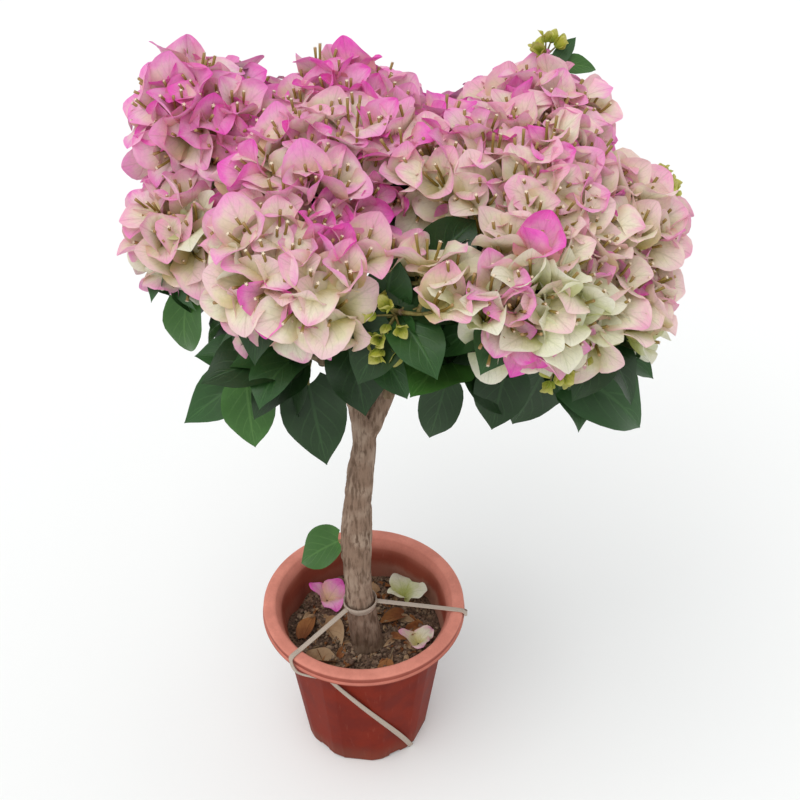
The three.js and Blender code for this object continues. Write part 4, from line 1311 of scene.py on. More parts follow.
@dataclass
class Crown:
    """The crown: twigs, flowers, leaves and young shoots, grown mass by mass."""

    flowers_a_mass: int = 40
    bract: float = 47.0  # the longest bract's length
    cup: float = 27.0  # from a flower's base to its mouth
    size_range: Pair = (0.78, 1.03)  # shares of bract
    opening: Pair = (0.2, 1.15)  # shares of wide open, cut off at 1
    widest: float = 108.0  # degrees from a mass's pole to the last of the flowers that it starts with
    farthest: float = 101.0  # degrees between the way from the crown's heart and the shell's normal
    leaf_length: float = 80.0
    leaf_width: float = 70.0
    inner_longest: float = 58.0  # leaf among the flowers
    inner_breadth: float = 0.78  # its width over its length
    leaf_overrun: float = 10.0  # past the walls of its mass's cell, at most
    open_margin: float = 12.0  # round a place without flowers, where a leaf may show its tip
    hidden_below: float = 25.0  # under a mass's centre, from where every leaf may stay
    leaf_depth: float = 0.12  # of the field at the tip of a leaf among the flowers, at least
    leaf_gap: float = 34.0  # between a leaf of the skirt and a listed one
    twig_thick: float = 2.0
    twig_thin: float = 1.1
    newly_opened: float = 0.2  # share of the flowers that are half open and at their brightest
    new_size: float = 0.86
    new_openness: float = 0.6
    new_blush: float = 0.46  # added to a newly opened flower's blush
    old_blush: float = -0.08  # added to every other flower's
    unevenness: float = 9.0  # how far a flower may sit behind the shell
    spacing: float = 30.8  # that flower heads keep from each other
    blend: float = 0.5  # how sharply the masses' shells run into each other: less is smoother
    level: float = 0.2  # of the joint field's logarithm on the shell
    rounds: int = 60  # of moving the heads apart
    push: float = 0.24  # share of an overlap by which each of two heads moves
    stride: float = 12.0  # the longest step back to the shell
    shoot_heads: int = 7
    shoot_stalk: Pair = (6.0, 17.0)
    shoot_bract: Pair = (9.0, 17.0)
    # The young shoots' ends.
    shoots: tuple[Triple, ...] = (
        (40, -150, 699), (30, -158, 684), (185, -138, 662), (172, -146, 648), (276, 30, 712),
        (172, 112, 806),
    )
    # Bare twigs, from and to.
    bare: tuple[tuple[Triple, Triple], ...] = (
        ((-40, -60, 584), (-102, -70, 569)),
        ((-102, -70, 569), (-108, -74, 575)),
    )
    # Rows below the flowers where only the listed leaves end: x, y, z and radius.
    cleared: Rows = (
        (24, -150, 590, 64), (-40, -189, 569, 30), (105, -184, 592, 33), (174, -112, 511, 25),
    )
    # Rows that carry no flower: x, y, z and radius.
    kept_open: Rows = (
        (35, -180, 712, 42), (78, -172, 676, 38), (92, -114, 748, 29), (36, -150, 728, 25),
        (-138, 8, 740, 22), (-74, 96, 790, 24), (-68, 124, 772, 20), (80, 168, 742, 33),
        (216, -114, 630, 40), (20, -148, 652, 38),
    )
    # The flower nearest to x, y, z takes this blush.
    tinted: Rows = (
        (-148, 31, 799, 0.95), (-128, 21, 787, 0.95), (-115, 44, 802, 0.4), (-105, 65, 805, 0.9),
        (-126, -48, 714, -0.1), (-95, -123, 731, 0.0), (-93, 7, 768, 0.95), (-71, -59, 772, 0.9),
        (-34, -10, 792, 0.3), (-12, 100, 805, 0.9), (42, -34, 785, 0.95), (47, -64, 751, 0.95),
        (-20, -128, 752, 0.95), (-58, -159, 701, 0.95), (67, -162, 737, 0.3), (109, -145, 744, 0.75),
        (141, -129, 753, 0.9), (255, -84, 700, 0.95), (170, -166, 705, 0.0), (198, -147, 679, 0.0),
        (225, 60, 770, 0.95), (158, -41, 788, 0.95), (132, -172, 686, 0.9),
    )
    shown: tuple[ShownLeaf, ...] = SHOWN_LEAVES

    def balls(self) -> Three:
        """The blossom masses' centres, their radii, and how far out their flower heads sit."""
        plans = [plan for plan in MASSES if plan.growth is Growth.BLOSSOM]
        centres = np.stack([plan.centre for plan in plans])
        radius = np.array([plan.radius for plan in plans])
        return centres, radius, np.sqrt(radius**2 - (0.9 * self.bract) ** 2) - 0.36 * self.cup

    def heads(self, masses: list[Mass]) -> Three:
        """Where the flowers of the blossom masses sit.

        Returns:
            Heads (n, 3), the outward normal at each, and the number of the mass that each belongs to.
        """
        blossom = [m for m, mass in enumerate(masses) if mass.plan.growth is Growth.BLOSSOM]
        centres, radius, reach = self.balls()
        rows = []
        for k, m in enumerate(blossom):
            ways = spread(self.flowers_a_mass, masses[m].plan.pole, self.widest, masses[m].seed)
            rows.append(centres[k] + ways * reach[k])
        heads, normal = self.settle(np.concatenate(rows), centres, reach)
        gap = heads[:, None] - centres
        owner = np.argmin((gap**2).sum(-1) - radius**2, axis=1)
        way = unit(heads - CROWN_AXIS - HEART_HEIGHT * UP)
        keep = ((way * normal).sum(1) > math.cos(self.farthest * DEG)) & ~within(heads, self.kept_open)
        return heads[keep], normal[keep], np.array(blossom)[owner[keep]]

    def shell(self, points: Array, centres: Array, reach: Array) -> Two:
        """The logarithm of the masses' joint field at points, and its gradient.

        The field is the sum over the masses of exp(-blend (d^2 / reach^2 - 1)), with d the distance from
        the mass's centre. The shell is where its logarithm is level, which bridges the creases between
        neighbours. The logarithm is given less the level.
        """
        gap = points[:, None] - centres
        near = np.exp(-self.blend * ((gap**2).sum(-1) / reach**2 - 1))
        total = near.sum(1)
        pull = near * (-2 * self.blend / reach**2) / total[:, None]
        return np.log(total) - self.level, (pull[..., None] * gap).sum(1)

    def settle(self, heads: Array, centres: Array, reach: Array) -> Two:
        """Moves heads apart over the masses' joint shell, and returns them with its outward normals.

        Each round pushes apart those nearer than the spacing, then takes two Newton steps back to the
        surface: minus the field's logarithm times its gradient over the gradient's square.
        """
        for _ in range(self.rounds):
            gap = heads[:, None] - heads
            away = norm(gap, axis=2) + np.eye(len(heads)) * 1e6
            push = np.maximum(self.spacing - away, 0) / away
            heads = heads + self.push * (gap * push[..., None]).sum(1)
            for _ in range(2):
                level, slope = self.shell(heads, centres, reach)
                step = -slope * (level / np.maximum((slope**2).sum(1), 1e-6))[:, None]
                long = norm(step, axis=1, keepdims=True)
                heads = heads + step * np.minimum(1, self.stride / np.maximum(long, 1e-6))
        return heads, -unit(self.shell(heads, centres, reach)[1])

    def flowers(self, masses: list[Mass], twigs: Twigs) -> tuple[Flowers, Array]:
        """Grows the flowers on their twigs, and deals each its blush from 0 to 1."""
        heads, out, owner = self.heads(masses)
        number = np.arange(len(heads)) + 100.0
        luck = [dice(number, k) for k in range(50, 60)]
        wander = np.stack(luck[1:4], axis=1) - 0.5
        axis = unit(out + 0.45 * UP + 0.8 * wander)
        newly = luck[7] < self.newly_opened
        size = self.bract * lerp(*self.size_range, luck[0]) * np.where(newly, self.new_size, 1.0)
        openness = np.clip(lerp(*self.opening, luck[4]) * np.where(newly, self.new_openness, 1.0), 0, 1)
        heads = heads + out * lerp(-self.unevenness, 0.5 * self.unevenness, luck[8])[:, None]
        base = heads - axis * 0.5 * self.cup
        flowers = Flowers(base, axis, luck[5] * 6.3, size, openness, number)
        own = np.array([mass.plan.blush for mass in masses])[owner]
        # The blush wanders, and grows towards the light.
        blush = own + 0.4 * (luck[6] - 0.5) + 0.24 * (out[:, 2] - 0.45)
        blush = blush + np.where(newly, self.new_blush, self.old_blush)
        for x, y, z, tint in self.tinted:
            blush[np.argmin(norm(heads - np.array([x, y, z]), axis=1))] = tint
        for m, mass in enumerate(masses):
            mine = np.flatnonzero(owner == m)
            order = mine[np.argsort(norm(base[mine] - mass.end, axis=1))]
            for i in order:
                start = mass.nearest(base[i])
                twigs.add(start, base[i] + axis[i], axis[i], self.twig_thick, self.twig_thin)
                mass.branch(start, base[i])
        return flowers, blush

    def mass_leaves(self, mass: Mass) -> tuple[Leaves, Array]:
        """A mass's leaves and their tones' numbers.

        They point outwards and a little away from the crown's axis, and hang. Those of a blossom mass
        spread from its inner side, and those of the skirt from its outer and lower side.
        """
        plan = mass.plan
        inner = plan.growth is Growth.BLOSSOM
        rule = INNER_LEAVES if inner else SKIRT_LEAVES
        pole = unit((-plan.pole if inner else plan.pole * LEVEL) - 0.3 * UP)
        out = spread(rule.count, pole, rule.fan, mass.seed + rule.turn)
        number = mass.seed * 50 + np.arange(len(out)) + 900.0
        reach = plan.radius * lerp(*rule.start, dice(number, 8))
        away = unit((plan.centre - CROWN_AXIS) * LEVEL)
        wander = np.stack([dice(number, k) for k in (3, 4, 5)], axis=1) - 0.5
        along = unit(out + away * rule.hang - UP * rule.hang + wander * np.array([1.3, 1.3, 0.9]))
        face = 0.7 * away + 1.1 * UP + 0.2 * out + 0.5 * wander
        scale = lerp(0.72, 1.12, dice(number, 7))
        length, width = self.leaf_length * scale, self.leaf_width * scale
        if inner:
            length = np.minimum(length, self.inner_longest)
            width = length * self.inner_breadth
        leaves = Leaves(plan.centre + out * reach[:, None], along, face, length, width, number)
        return leaves, np.digitize(dice(number, 9), rule.tones)

    def leaves(self, masses: list[Mass], twigs: Twigs) -> tuple[Leaves, Array]:
        """Grows the leaves of every mass, and deals each its tone's number."""
        grown, tones = [], []
        centres, _, reach = self.balls()
        shown = np.array([lerp(np.array(leaf.base), np.array(leaf.tip), 0.7) for leaf in self.shown])
        for mass in masses:
            leaves, tone = self.mass_leaves(mass)
            blade = leaves.along * leaves.length[:, None]
            mid, tip = leaves.base + blade * 0.7, leaves.base + blade
            keep = beyond(mid, mass.plan) < self.leaf_overrun
            if mass.plan.growth is Growth.BLOSSOM:
                inside = self.shell(tip, centres, reach)[0] > self.leaf_depth
                low = tip[:, 2] < mass.plan.centre[2] - self.hidden_below
                keep &= inside | within(tip, self.kept_open, self.open_margin) | low
            else:
                keep &= norm(mid[:, None] - shown, axis=2).min(1) > self.leaf_gap
                keep &= ~within(tip, self.cleared)
            grown.append(leaves.pick(keep))
            tones.append(tone[keep])
            self.stalks(mass, grown[-1], twigs)
        grown.append(self.hand_set(masses, twigs))
        order = list(LeafTone)
        tones.append(np.array([order.index(leaf.tone) for leaf in self.shown]))
        parts = zip(*(some.arrays().values() for some in grown))
        return Leaves(*(np.concatenate(part) for part in parts)), np.concatenate(tones)

    def stalks(self, mass: Mass, leaves: Leaves, twigs: Twigs) -> None:
        """Adds each leaf's stalk, from the nearest joint to its base."""
        for base, along in zip(leaves.base, unit(leaves.along)):
            start = mass.nearest(base)
            twigs.add(start, base + along, along, self.twig_thick * 0.8, self.twig_thin * 0.8)
            mass.branch(start, base)

    def hand_set(self, masses: list[Mass], twigs: Twigs) -> Leaves:
        """The listed leaves, each with a stalk from the nearest joint of any mass, and bare twigs."""
        leaves = leaves_at(self.shown, 5000.0, 1.04)
        for point, along in zip(leaves.base, leaves.along):
            start = nearest_mass(masses, point).nearest(point)
            twigs.add(start, point + along, along, self.twig_thick, self.twig_thin)
        for start, end in np.array(self.bare, float):
            twigs.add(start, end, end - start, self.twig_thick, self.twig_thick * 0.8)
        return leaves

    def young(self, masses: list[Mass], twigs: Twigs) -> Flowers:
        """Clusters of small yellow-green bracts at the ends of young shoots."""
        rows = []
        for s, spot in enumerate(self.shoots):
            at = np.array(spot, float)
            mass = nearest_mass(masses, at)
            start = mass.nearest(at)
            out = unit(at - mass.plan.centre)
            twigs.add(start, at, out, self.twig_thick, self.twig_thin)
            for k, way in enumerate(spread(self.shoot_heads, unit(out + 0.3 * UP), 80, s)):
                end = at + way * lerp(*self.shoot_stalk, float(dice(s * 9 + k, 61)))
                twigs.add(at, end, way, self.twig_thin, self.twig_thin * 0.7)
                rows.append((end, way, lerp(*self.shoot_bract, float(dice(s * 9 + k, 62)))))
        base, axis, size = (np.array(column) for column in zip(*rows))
        number = 3000.0 + np.arange(len(base))
        return Flowers(base, axis, dice(number, 64) * 6.3, size, 0.5 * dice(number, 63), number)

    def build(self, limbs: dict[str, Limb]) -> None:
        """Grows the whole crown and makes its pieces, each kind and each tone apart."""
        masses = [Mass(plan, limbs[plan.name].points(1.0)[0], i + 1) for i, plan in enumerate(MASSES)]
        blossom, skirt = (tuple(p.name for p in MASSES if p.growth is growth) for growth in Growth)
        stems, twigs = Twigs(stations=8, sides=8), Twigs()
        for mass in masses:
            inside = mass.tip - (mass.end - mass.tip) * 0.08  # a little down into its bough
            stems.add(inside, mass.end, mass.plan.pole, STEM_RADIUS, STEM_TIP)
        flowers, blush = self.flowers(masses, twigs)
        leaves, tones = self.leaves(masses, twigs)
        young = self.young(masses, twigs)

        bloom, low = ("blossom", *blossom), math.inf
        for least, tone in TONE_STEPS:
            some = flowers.pick((blush >= least) & (blush < low))
            place(f"bracts_{tone.name.lower()}", filled(some.bracts), tone.value.material(), *bloom)
            low = least
        place("bracts_young", filled(young.bracts), Tone.YOUNG.value.material(), *bloom)
        for k, tone in enumerate(LeafTone):
            stock = filled(leaves.pick(tones == k).blades)
            place(f"leaves_{tone.name.lower()}", stock, tone.value.material(), "leaf", *skirt)
        place("flower_tubes", filled(flowers.tubes), FLOWER_TUBE.material(), *bloom)
        place("flower_stars", filled(flowers.stars), FLOWER_STAR.material(), *bloom)
        for name, wood, stuff in (("stems", stems, YOUNG_BARK), ("twigs", twigs, GREEN_TWIG)):
            place(name, filled(wood.build, False), stuff.material(), "bark", *blossom, *skirt)


@dataclass
class LowShoot:
    """The one leaf on a short shoot from the knot low on the trunk."""

    leaf: ShownLeaf = ShownLeaf((-25, -11, 307), (-73, -9, 270), 46, (-0.3, -0.5, 0.8), LeafTone.MID)
    root: Triple = (-13, -16, 309)
    stalk_radii: Pair = (2.4, 1.3)

    def build(self) -> None:
        """Makes the leaf and its stalk."""
        leaf = leaves_at((self.leaf,), 77.0, rows=25, columns=19)
        look = self.leaf.tone.value.material()
        place("low_leaf_blade", filled(leaf.blades), look, "leaf", "low_leaf")
        twig = Twigs(stations=10, sides=10)
        twig.add(np.array(self.root, float), leaf.base[0], leaf.along[0], *self.stalk_radii)
        place("low_leaf_stalk", filled(twig.build, False), GREEN_TWIG.material(), "bark", "low_leaf")


# ---- pot and soil


@dataclass
class Pot:
    """The ten-sided pot with its round rolled rim, and the soil in it."""

    height: float = 204.0
    rim: float = 115.0
    mouth: float = 100.6
    skirt: float = 13.0
    wall_top: float = 97.5
    foot: float = 73.5
    wall: float = 2.6
    floor_under: float = 5.0
    floor_top: float = 8.0
    foot_ring: float = 10.0
    pad: float = 13.0
    sides: int = 10
    facet_turn: float = 12.0
    corner_half: float = 5.0
    notch: Pair = (17.0, 4.5)  # a drain notch's width and height
    slot: Pair = (15.0, 3.0)
    columns: int = 360
    crease: float = 38.0  # degrees past which the wall's edges stay sharp
    soil_level: float = 155.0
    soil_dip: float = 7.0
    soil_flat: float = 26.0
    soil_columns: int = 240
    soil_rings: int = 72
    crumb_reach: float = 85.0
    crumb_sizes: Pair = (0.8, 3.6)

    def outer(self, height: Any) -> Any:
        """The wall's outer corner radius at a height."""
        return lerp(self.foot, self.wall_top, height / (self.height - self.skirt))

    def ring(self, radius: Any, height: Any, facet: Any, bearings: Array) -> Array:
        """Points of a ten-sided outline with round corners.

        On a facet the radius is the corner's times cos(flat) / cos(off), with off the angle from the
        facet's middle and flat the angle where its round corner starts. facet 0 makes a plain circle.
        """
        half = 180 / self.sides
        flat = half - self.corner_half
        off = (bearings - self.facet_turn + half) % (2 * half) - half
        share = np.minimum(1.0, math.cos(flat * DEG) / np.cos(off * DEG))
        return polar(bearings, radius * lerp(1.0, share, facet), height)

    def facet(self, height: Any) -> Any:
        """1 on the flat-sided wall, falling to 0 where it meets the round rim."""
        return 1 - smoothstep(height, self.height - 26, self.height - 8)

    def wall_row(self, height: float, inset: float = 0.0) -> Triple:
        """The profile's row on the wall's outside at a height, or inset from it."""
        return float(self.outer(height)) - inset, height, float(self.facet(height))

    def profile(self) -> Array:
        """Radius, height and facet share down the middle of the underside, out, up and in again."""
        top, low = self.height, self.height - self.skirt
        foot_in = self.foot - self.foot_ring
        rows = [(self.pad, 0, 0), (self.pad + 1.5, self.floor_under, 0), (foot_in - 1, self.floor_under, 1)]
        rows += [(foot_in, 0, 1), (self.foot - 1.5, 0, 1)]
        rows += [self.wall_row(z) for z in (1.6, 30, 90, 150, top - 26, top - 22, top - 17, low)]
        rows += [(self.mouth - 1, low + 7.5, 0), (self.rim - 3.2, low + 8, 0), (self.rim - 2.4, low, 0)]
        rows += [(self.rim + 0.5, low, 0), (self.rim + 0.5, low + 2.2, 0), (self.rim - 1.6, low + 3.2, 0)]
        rows += [(self.rim - 0.4, top - 3.2, 0), (self.rim - 1.6, top - 0.9, 0), (self.rim - 4.5, top, 0)]
        rows += [(self.mouth + 2.6, top, 0), (self.mouth, top - 1.4, 0)]
        rows += [self.wall_row(z, self.wall) for z in (top - 13, top - 26, 150, 90, 30, self.floor_top)]
        return np.array(rows, float)

    @staticmethod
    def eased(profile: Array, radius: float = 1.1) -> Array:
        """The profile with each corner cut back by radius and rounded by a quadratic Bezier curve."""
        before, at, after = profile[:-2], profile[1:-1], profile[2:]

        def cut(end: Array) -> Array:
            """The point on the way from a corner to its neighbour."""
            gap = norm((end - at)[:, :2], axis=1, keepdims=True)
            return at + (end - at) * np.minimum(radius / gap, 0.45)

        t = np.linspace(0, 1, 4)[None, :, None]
        curve = bezier(cut(before)[:, None], at[:, None], cut(after)[:, None], t)
        return np.concatenate([profile[:1], curve.reshape(-1, 3), profile[-1:]])

    def lifted(self, grid: Array, bearings: Array) -> Array:
        """Lifts the foot ring over the drain notches and the band slots.

        A notch's height at a distance d from its middle is that of a flat-topped arch of its width.
        """
        cut = np.zeros(len(bearings))
        for (width, high), turn in ((self.notch, 0.0), (self.slot, 180 / self.sides)):
            step = 720 / self.sides
            off = (bearings - self.facet_turn - turn + step / 2) % step - step / 2
            away = np.abs(off * DEG) * self.foot
            cut = np.maximum(cut, high * smoothstep(width / 2 - away, 0.0, 2.0))
        radius = np.hypot(grid[..., 0], grid[..., 1])
        under = (radius > self.foot - self.foot_ring - 3) & (grid[..., 2] < self.notch[1] + 0.4)
        grid[..., 2] = np.where(under, np.maximum(grid[..., 2], cut), grid[..., 2])
        return grid

    def build(self) -> None:
        """Makes the pot as one closed surface, its profile carried round the axis."""
        rows = self.eased(self.profile())
        bearings = -np.arange(self.columns) / self.columns * 360
        grid = self.ring(rows[:, :1], rows[:, 1:2], rows[:, 2:3], bearings[None])
        grid = self.lifted(grid, bearings)
        poles = np.array([[[0, 0, 0], [0, 0, self.floor_top]]], float)
        stock = Stock().grids(grid[None], wrap=True, poles=poles)
        place("pot_shell", stock, PotPlastic().material(), "pot", "pot", sharp=self.crease)

    def ground(self, x: Array, y: Array) -> Array:
        """The soil's height: level round the trunk's foot, with shallow dips away from it."""
        foot = TRUNK.stations[0]
        away = np.hypot(x - foot[0], y - foot[1])
        rough = 0.5 + 0.25 * np.sin(x * 0.09 + 1.3) + 0.25 * np.sin(y * 0.11 - x * 0.04 + 0.4)
        share = smoothstep(away, self.soil_flat, self.soil_flat * 2.2)
        return self.soil_level - self.soil_dip * rough * share

    def clods(self, points: Array) -> Array:
        """Small relief on the soil, in three sizes of noise."""
        return sum(h * (noise(points, s, s) - 0.5) for s, h in ((13.0, 2.6), (5.0, 2.0), (2.2, 1.1)))

    def soil(self) -> None:
        """Makes the soil: a lumpy top that meets the wall, and plain sides and floor below it."""
        bearings = np.arange(self.soil_columns) / self.soil_columns * 360
        edge = self.outer(150.0) - self.wall + 0.6  # a little into the wall
        share = np.linspace(0.012, 1, self.soil_rings)[:, None]
        top = self.ring(edge * share, 0.0, 1.0, bearings[None])
        top[..., 2] = self.ground(top[..., 0], top[..., 1]) + self.clods(top)
        down = np.array([140.0, 80.0, self.floor_top + GAP])[:, None]
        sides = self.ring(self.outer(down) - self.wall - GAP, down, 1.0, bearings[None])
        grid = np.concatenate([top, sides])
        centre = np.array([0, 0, float(top[0, :, 2].mean())])
        poles = np.stack([centre, np.array([0, 0, self.floor_top + GAP])])[None]
        stock = Stock().grids(grid[None], wrap=True, poles=poles)
        place("soil_bed", stock, SOIL.material(), "soil", "soil")

    def crumbs(self, count: int = 1500) -> None:
        """Makes crumbs of soil and grit: small balls of 24 faces, each dented by noise."""
        i = np.arange(count)
        radius = self.crumb_reach * np.sqrt(dice(i, 71))
        spot = polar(dice(i, 72) * 360, radius, 0.0)
        size = lerp(*self.crumb_sizes, dice(i, 73) ** 3)
        spot[:, 2] = self.ground(spot[:, 0], spot[:, 1]) + 0.35 * size
        rise = np.array([-0.6, 0.0, 0.6])[:, None]
        turn = -np.arange(6) / 6 * 2 * math.pi
        girth = np.sqrt(1 - rise**2)
        ball = np.stack(np.broadcast_arrays(np.cos(turn) * girth, np.sin(turn) * girth, rise), -1)
        squash = np.stack([lerp(0.7, 1.3, dice(i, k)) for k in (74, 75, 76)], axis=1)
        grid = spot[:, None, None] + ball * (size[:, None] * squash)[:, None, None]
        grid += (noise(grid, 1.6, 4.0) - 0.5)[..., None] * ball * size[:, None, None, None]
        ends = spot[:, None] + np.array([[0, 0, -1.0], [0, 0, 1.0]]) * (size[:, None] * squash)[:, None] * 0.9
        stock = Stock().grids(grid, wrap=True, poles=ends)
        place("soil_crumbs", stock, CRUMB.material(), "soil", "soil")


# ---- litter and band


@dataclass(frozen=True)
class Fallen:
    """A flower that lies on the soil."""

    node: str
    x: float
    y: float
    turn: float
    lean: float
    size: float
    tone: Tone


@dataclass(frozen=True)
class Dry:
    """A dry leaf that lies on the soil, with its length and width and the way that it points."""

    x: float
    y: float
    turn: float
    length: float
    width: float
    look: Blade


@dataclass
class Litter:
    """What lies on the soil: fallen flowers, curled dry leaves, their fragments and bits of stick."""

    pot: Pot
    fallen: tuple[Fallen, ...] = (
        Fallen("fallen_blossom_pink", -46, 41, 20, 14, 30, Tone.MAGENTA),
        Fallen("fallen_blossom_pale", 45, 46, 75, 12, 30, Tone.PALE),
        Fallen("fallen_blossom_faded", 63, -22, 140, 10, 29, Tone.BLUSH),
    )
    dry: tuple[Dry, ...] = (
        Dry(-65, 3, 75, 40, 20, DRY_LEAF),
        Dry(-36, -16, -55, 40, 25, DRY_TAN),
        Dry(-42, -52, 12, 38, 24, DRY_TAN),
        Dry(27, -58, 88, 28, 19, DRY_LEAF),
        Dry(30, 12, 200, 30, 16, DRY_LEAF),
        Dry(-4, 62, 160, 34, 22, DRY_TAN),
    )
    # Bits of stick: x, y, the way they point and their length.
    sticks: Rows = (
        (30, -44, 70, 26), (-62, -30, 20, 34), (52, 20, -35, 24), (-20, 70, 10, 30), (10, -74, -12, 30),
    )
    flower_lift: float = 4.0  # of its base above the soil, as the next
    leaf_lift: float = 4.0
    fragments: int = 90  # of each kind
    fragment_reach: float = 76.0

    def rest_on_soil(self, x: Any, y: Any, lift: float) -> Array:
        """Points a little above the soil."""
        x, y = np.atleast_1d(np.asarray(x, float)), np.atleast_1d(np.asarray(y, float))
        return np.stack([x, y, self.pot.ground(x, y) + lift], axis=-1)

    def flowers(self) -> None:
        """Makes the fallen flowers, wide open and lying over on one side."""
        for k, flower in enumerate(self.fallen):
            base = self.rest_on_soil(flower.x, flower.y, self.flower_lift)
            axis = polar(flower.turn, math.sin(flower.lean * DEG), math.cos(flower.lean * DEG))[None]
            parts = (np.array([v]) for v in (flower.turn * DEG, flower.size, 0.95, 4000.0 + k))
            head = Flowers(base, axis, *parts, rows=13, columns=11)
            look = flower.tone.value.material()
            place(f"{flower.node}_bracts", filled(head.bracts), look, "faded_blossom", flower.node)

    def leaves(self) -> None:
        """Makes the dry leaves, their margins rolled up, and a scatter of fragments."""
        for k, leaf in enumerate(self.dry):
            along = polar(leaf.turn, 1.0, 0.0)[None]
            base = self.rest_on_soil(leaf.x, leaf.y, self.leaf_lift) - along * leaf.length / 2
            face = UP[None] + 0.2 * polar(leaf.turn + 90, 1, 0)[None]
            sizes = (np.array([v]) for v in (leaf.length, leaf.width, 4100.0 + k))
            blade = Leaves(base, along, face, *sizes, curl=0.9, sag=20, fold=0.25, rows=15, columns=13)
            stock, look = filled(blade.blades), leaf.look.material()
            place(f"dry_leaf_blade_{k + 1}", stock, look, "dry_leaf", f"dry_leaf_{k + 1}")
        for name, look, first in (("brown", DRY_LEAF, 0), ("tan", DRY_TAN, 500)):
            i = np.arange(self.fragments) + float(first)
            spot = polar(dice(i, 81) * 360, self.fragment_reach * np.sqrt(dice(i, 82)), 0.0)
            base = self.rest_on_soil(spot[:, 0], spot[:, 1], 1.2)
            along = unit(polar(dice(i, 83) * 360, 1.0, 0.0) + UP * lerp(-0.15, 0.35, dice(i, 84))[:, None])
            face = UP + polar(dice(i, 85) * 360, 0.7, 0.0)
            length = lerp(5, 20, dice(i, 86) ** 2)
            width = length * lerp(0.35, 0.75, dice(i, 87))
            bits = Leaves(base, along, face, length, width, i, curl=1.2, sag=50, fold=0.2, rows=5, columns=5)
            place(f"leaf_fragments_{name}", filled(bits.blades), look.material(), "dry_leaf", "soil")

    def twigs(self) -> None:
        """Makes the bits of stick."""
        sticks = Twigs(stations=9, sides=8)
        for x, y, turn, length in self.sticks:
            way = polar(turn, 1.0, 0.05)
            middle = self.rest_on_soil(x, y, 2.0)[0]
            half = way * length / 2
            sticks.add(middle - half, middle + half, way + polar(turn + 90, 0.3, 0), 1.3, 0.9)
        place("soil_sticks", filled(sticks.build, False), YOUNG_BARK.material(), "bark", "soil")

    def build(self) -> None:
        """Makes everything that lies on the soil."""
        self.flowers()
        self.leaves()
        self.twigs()


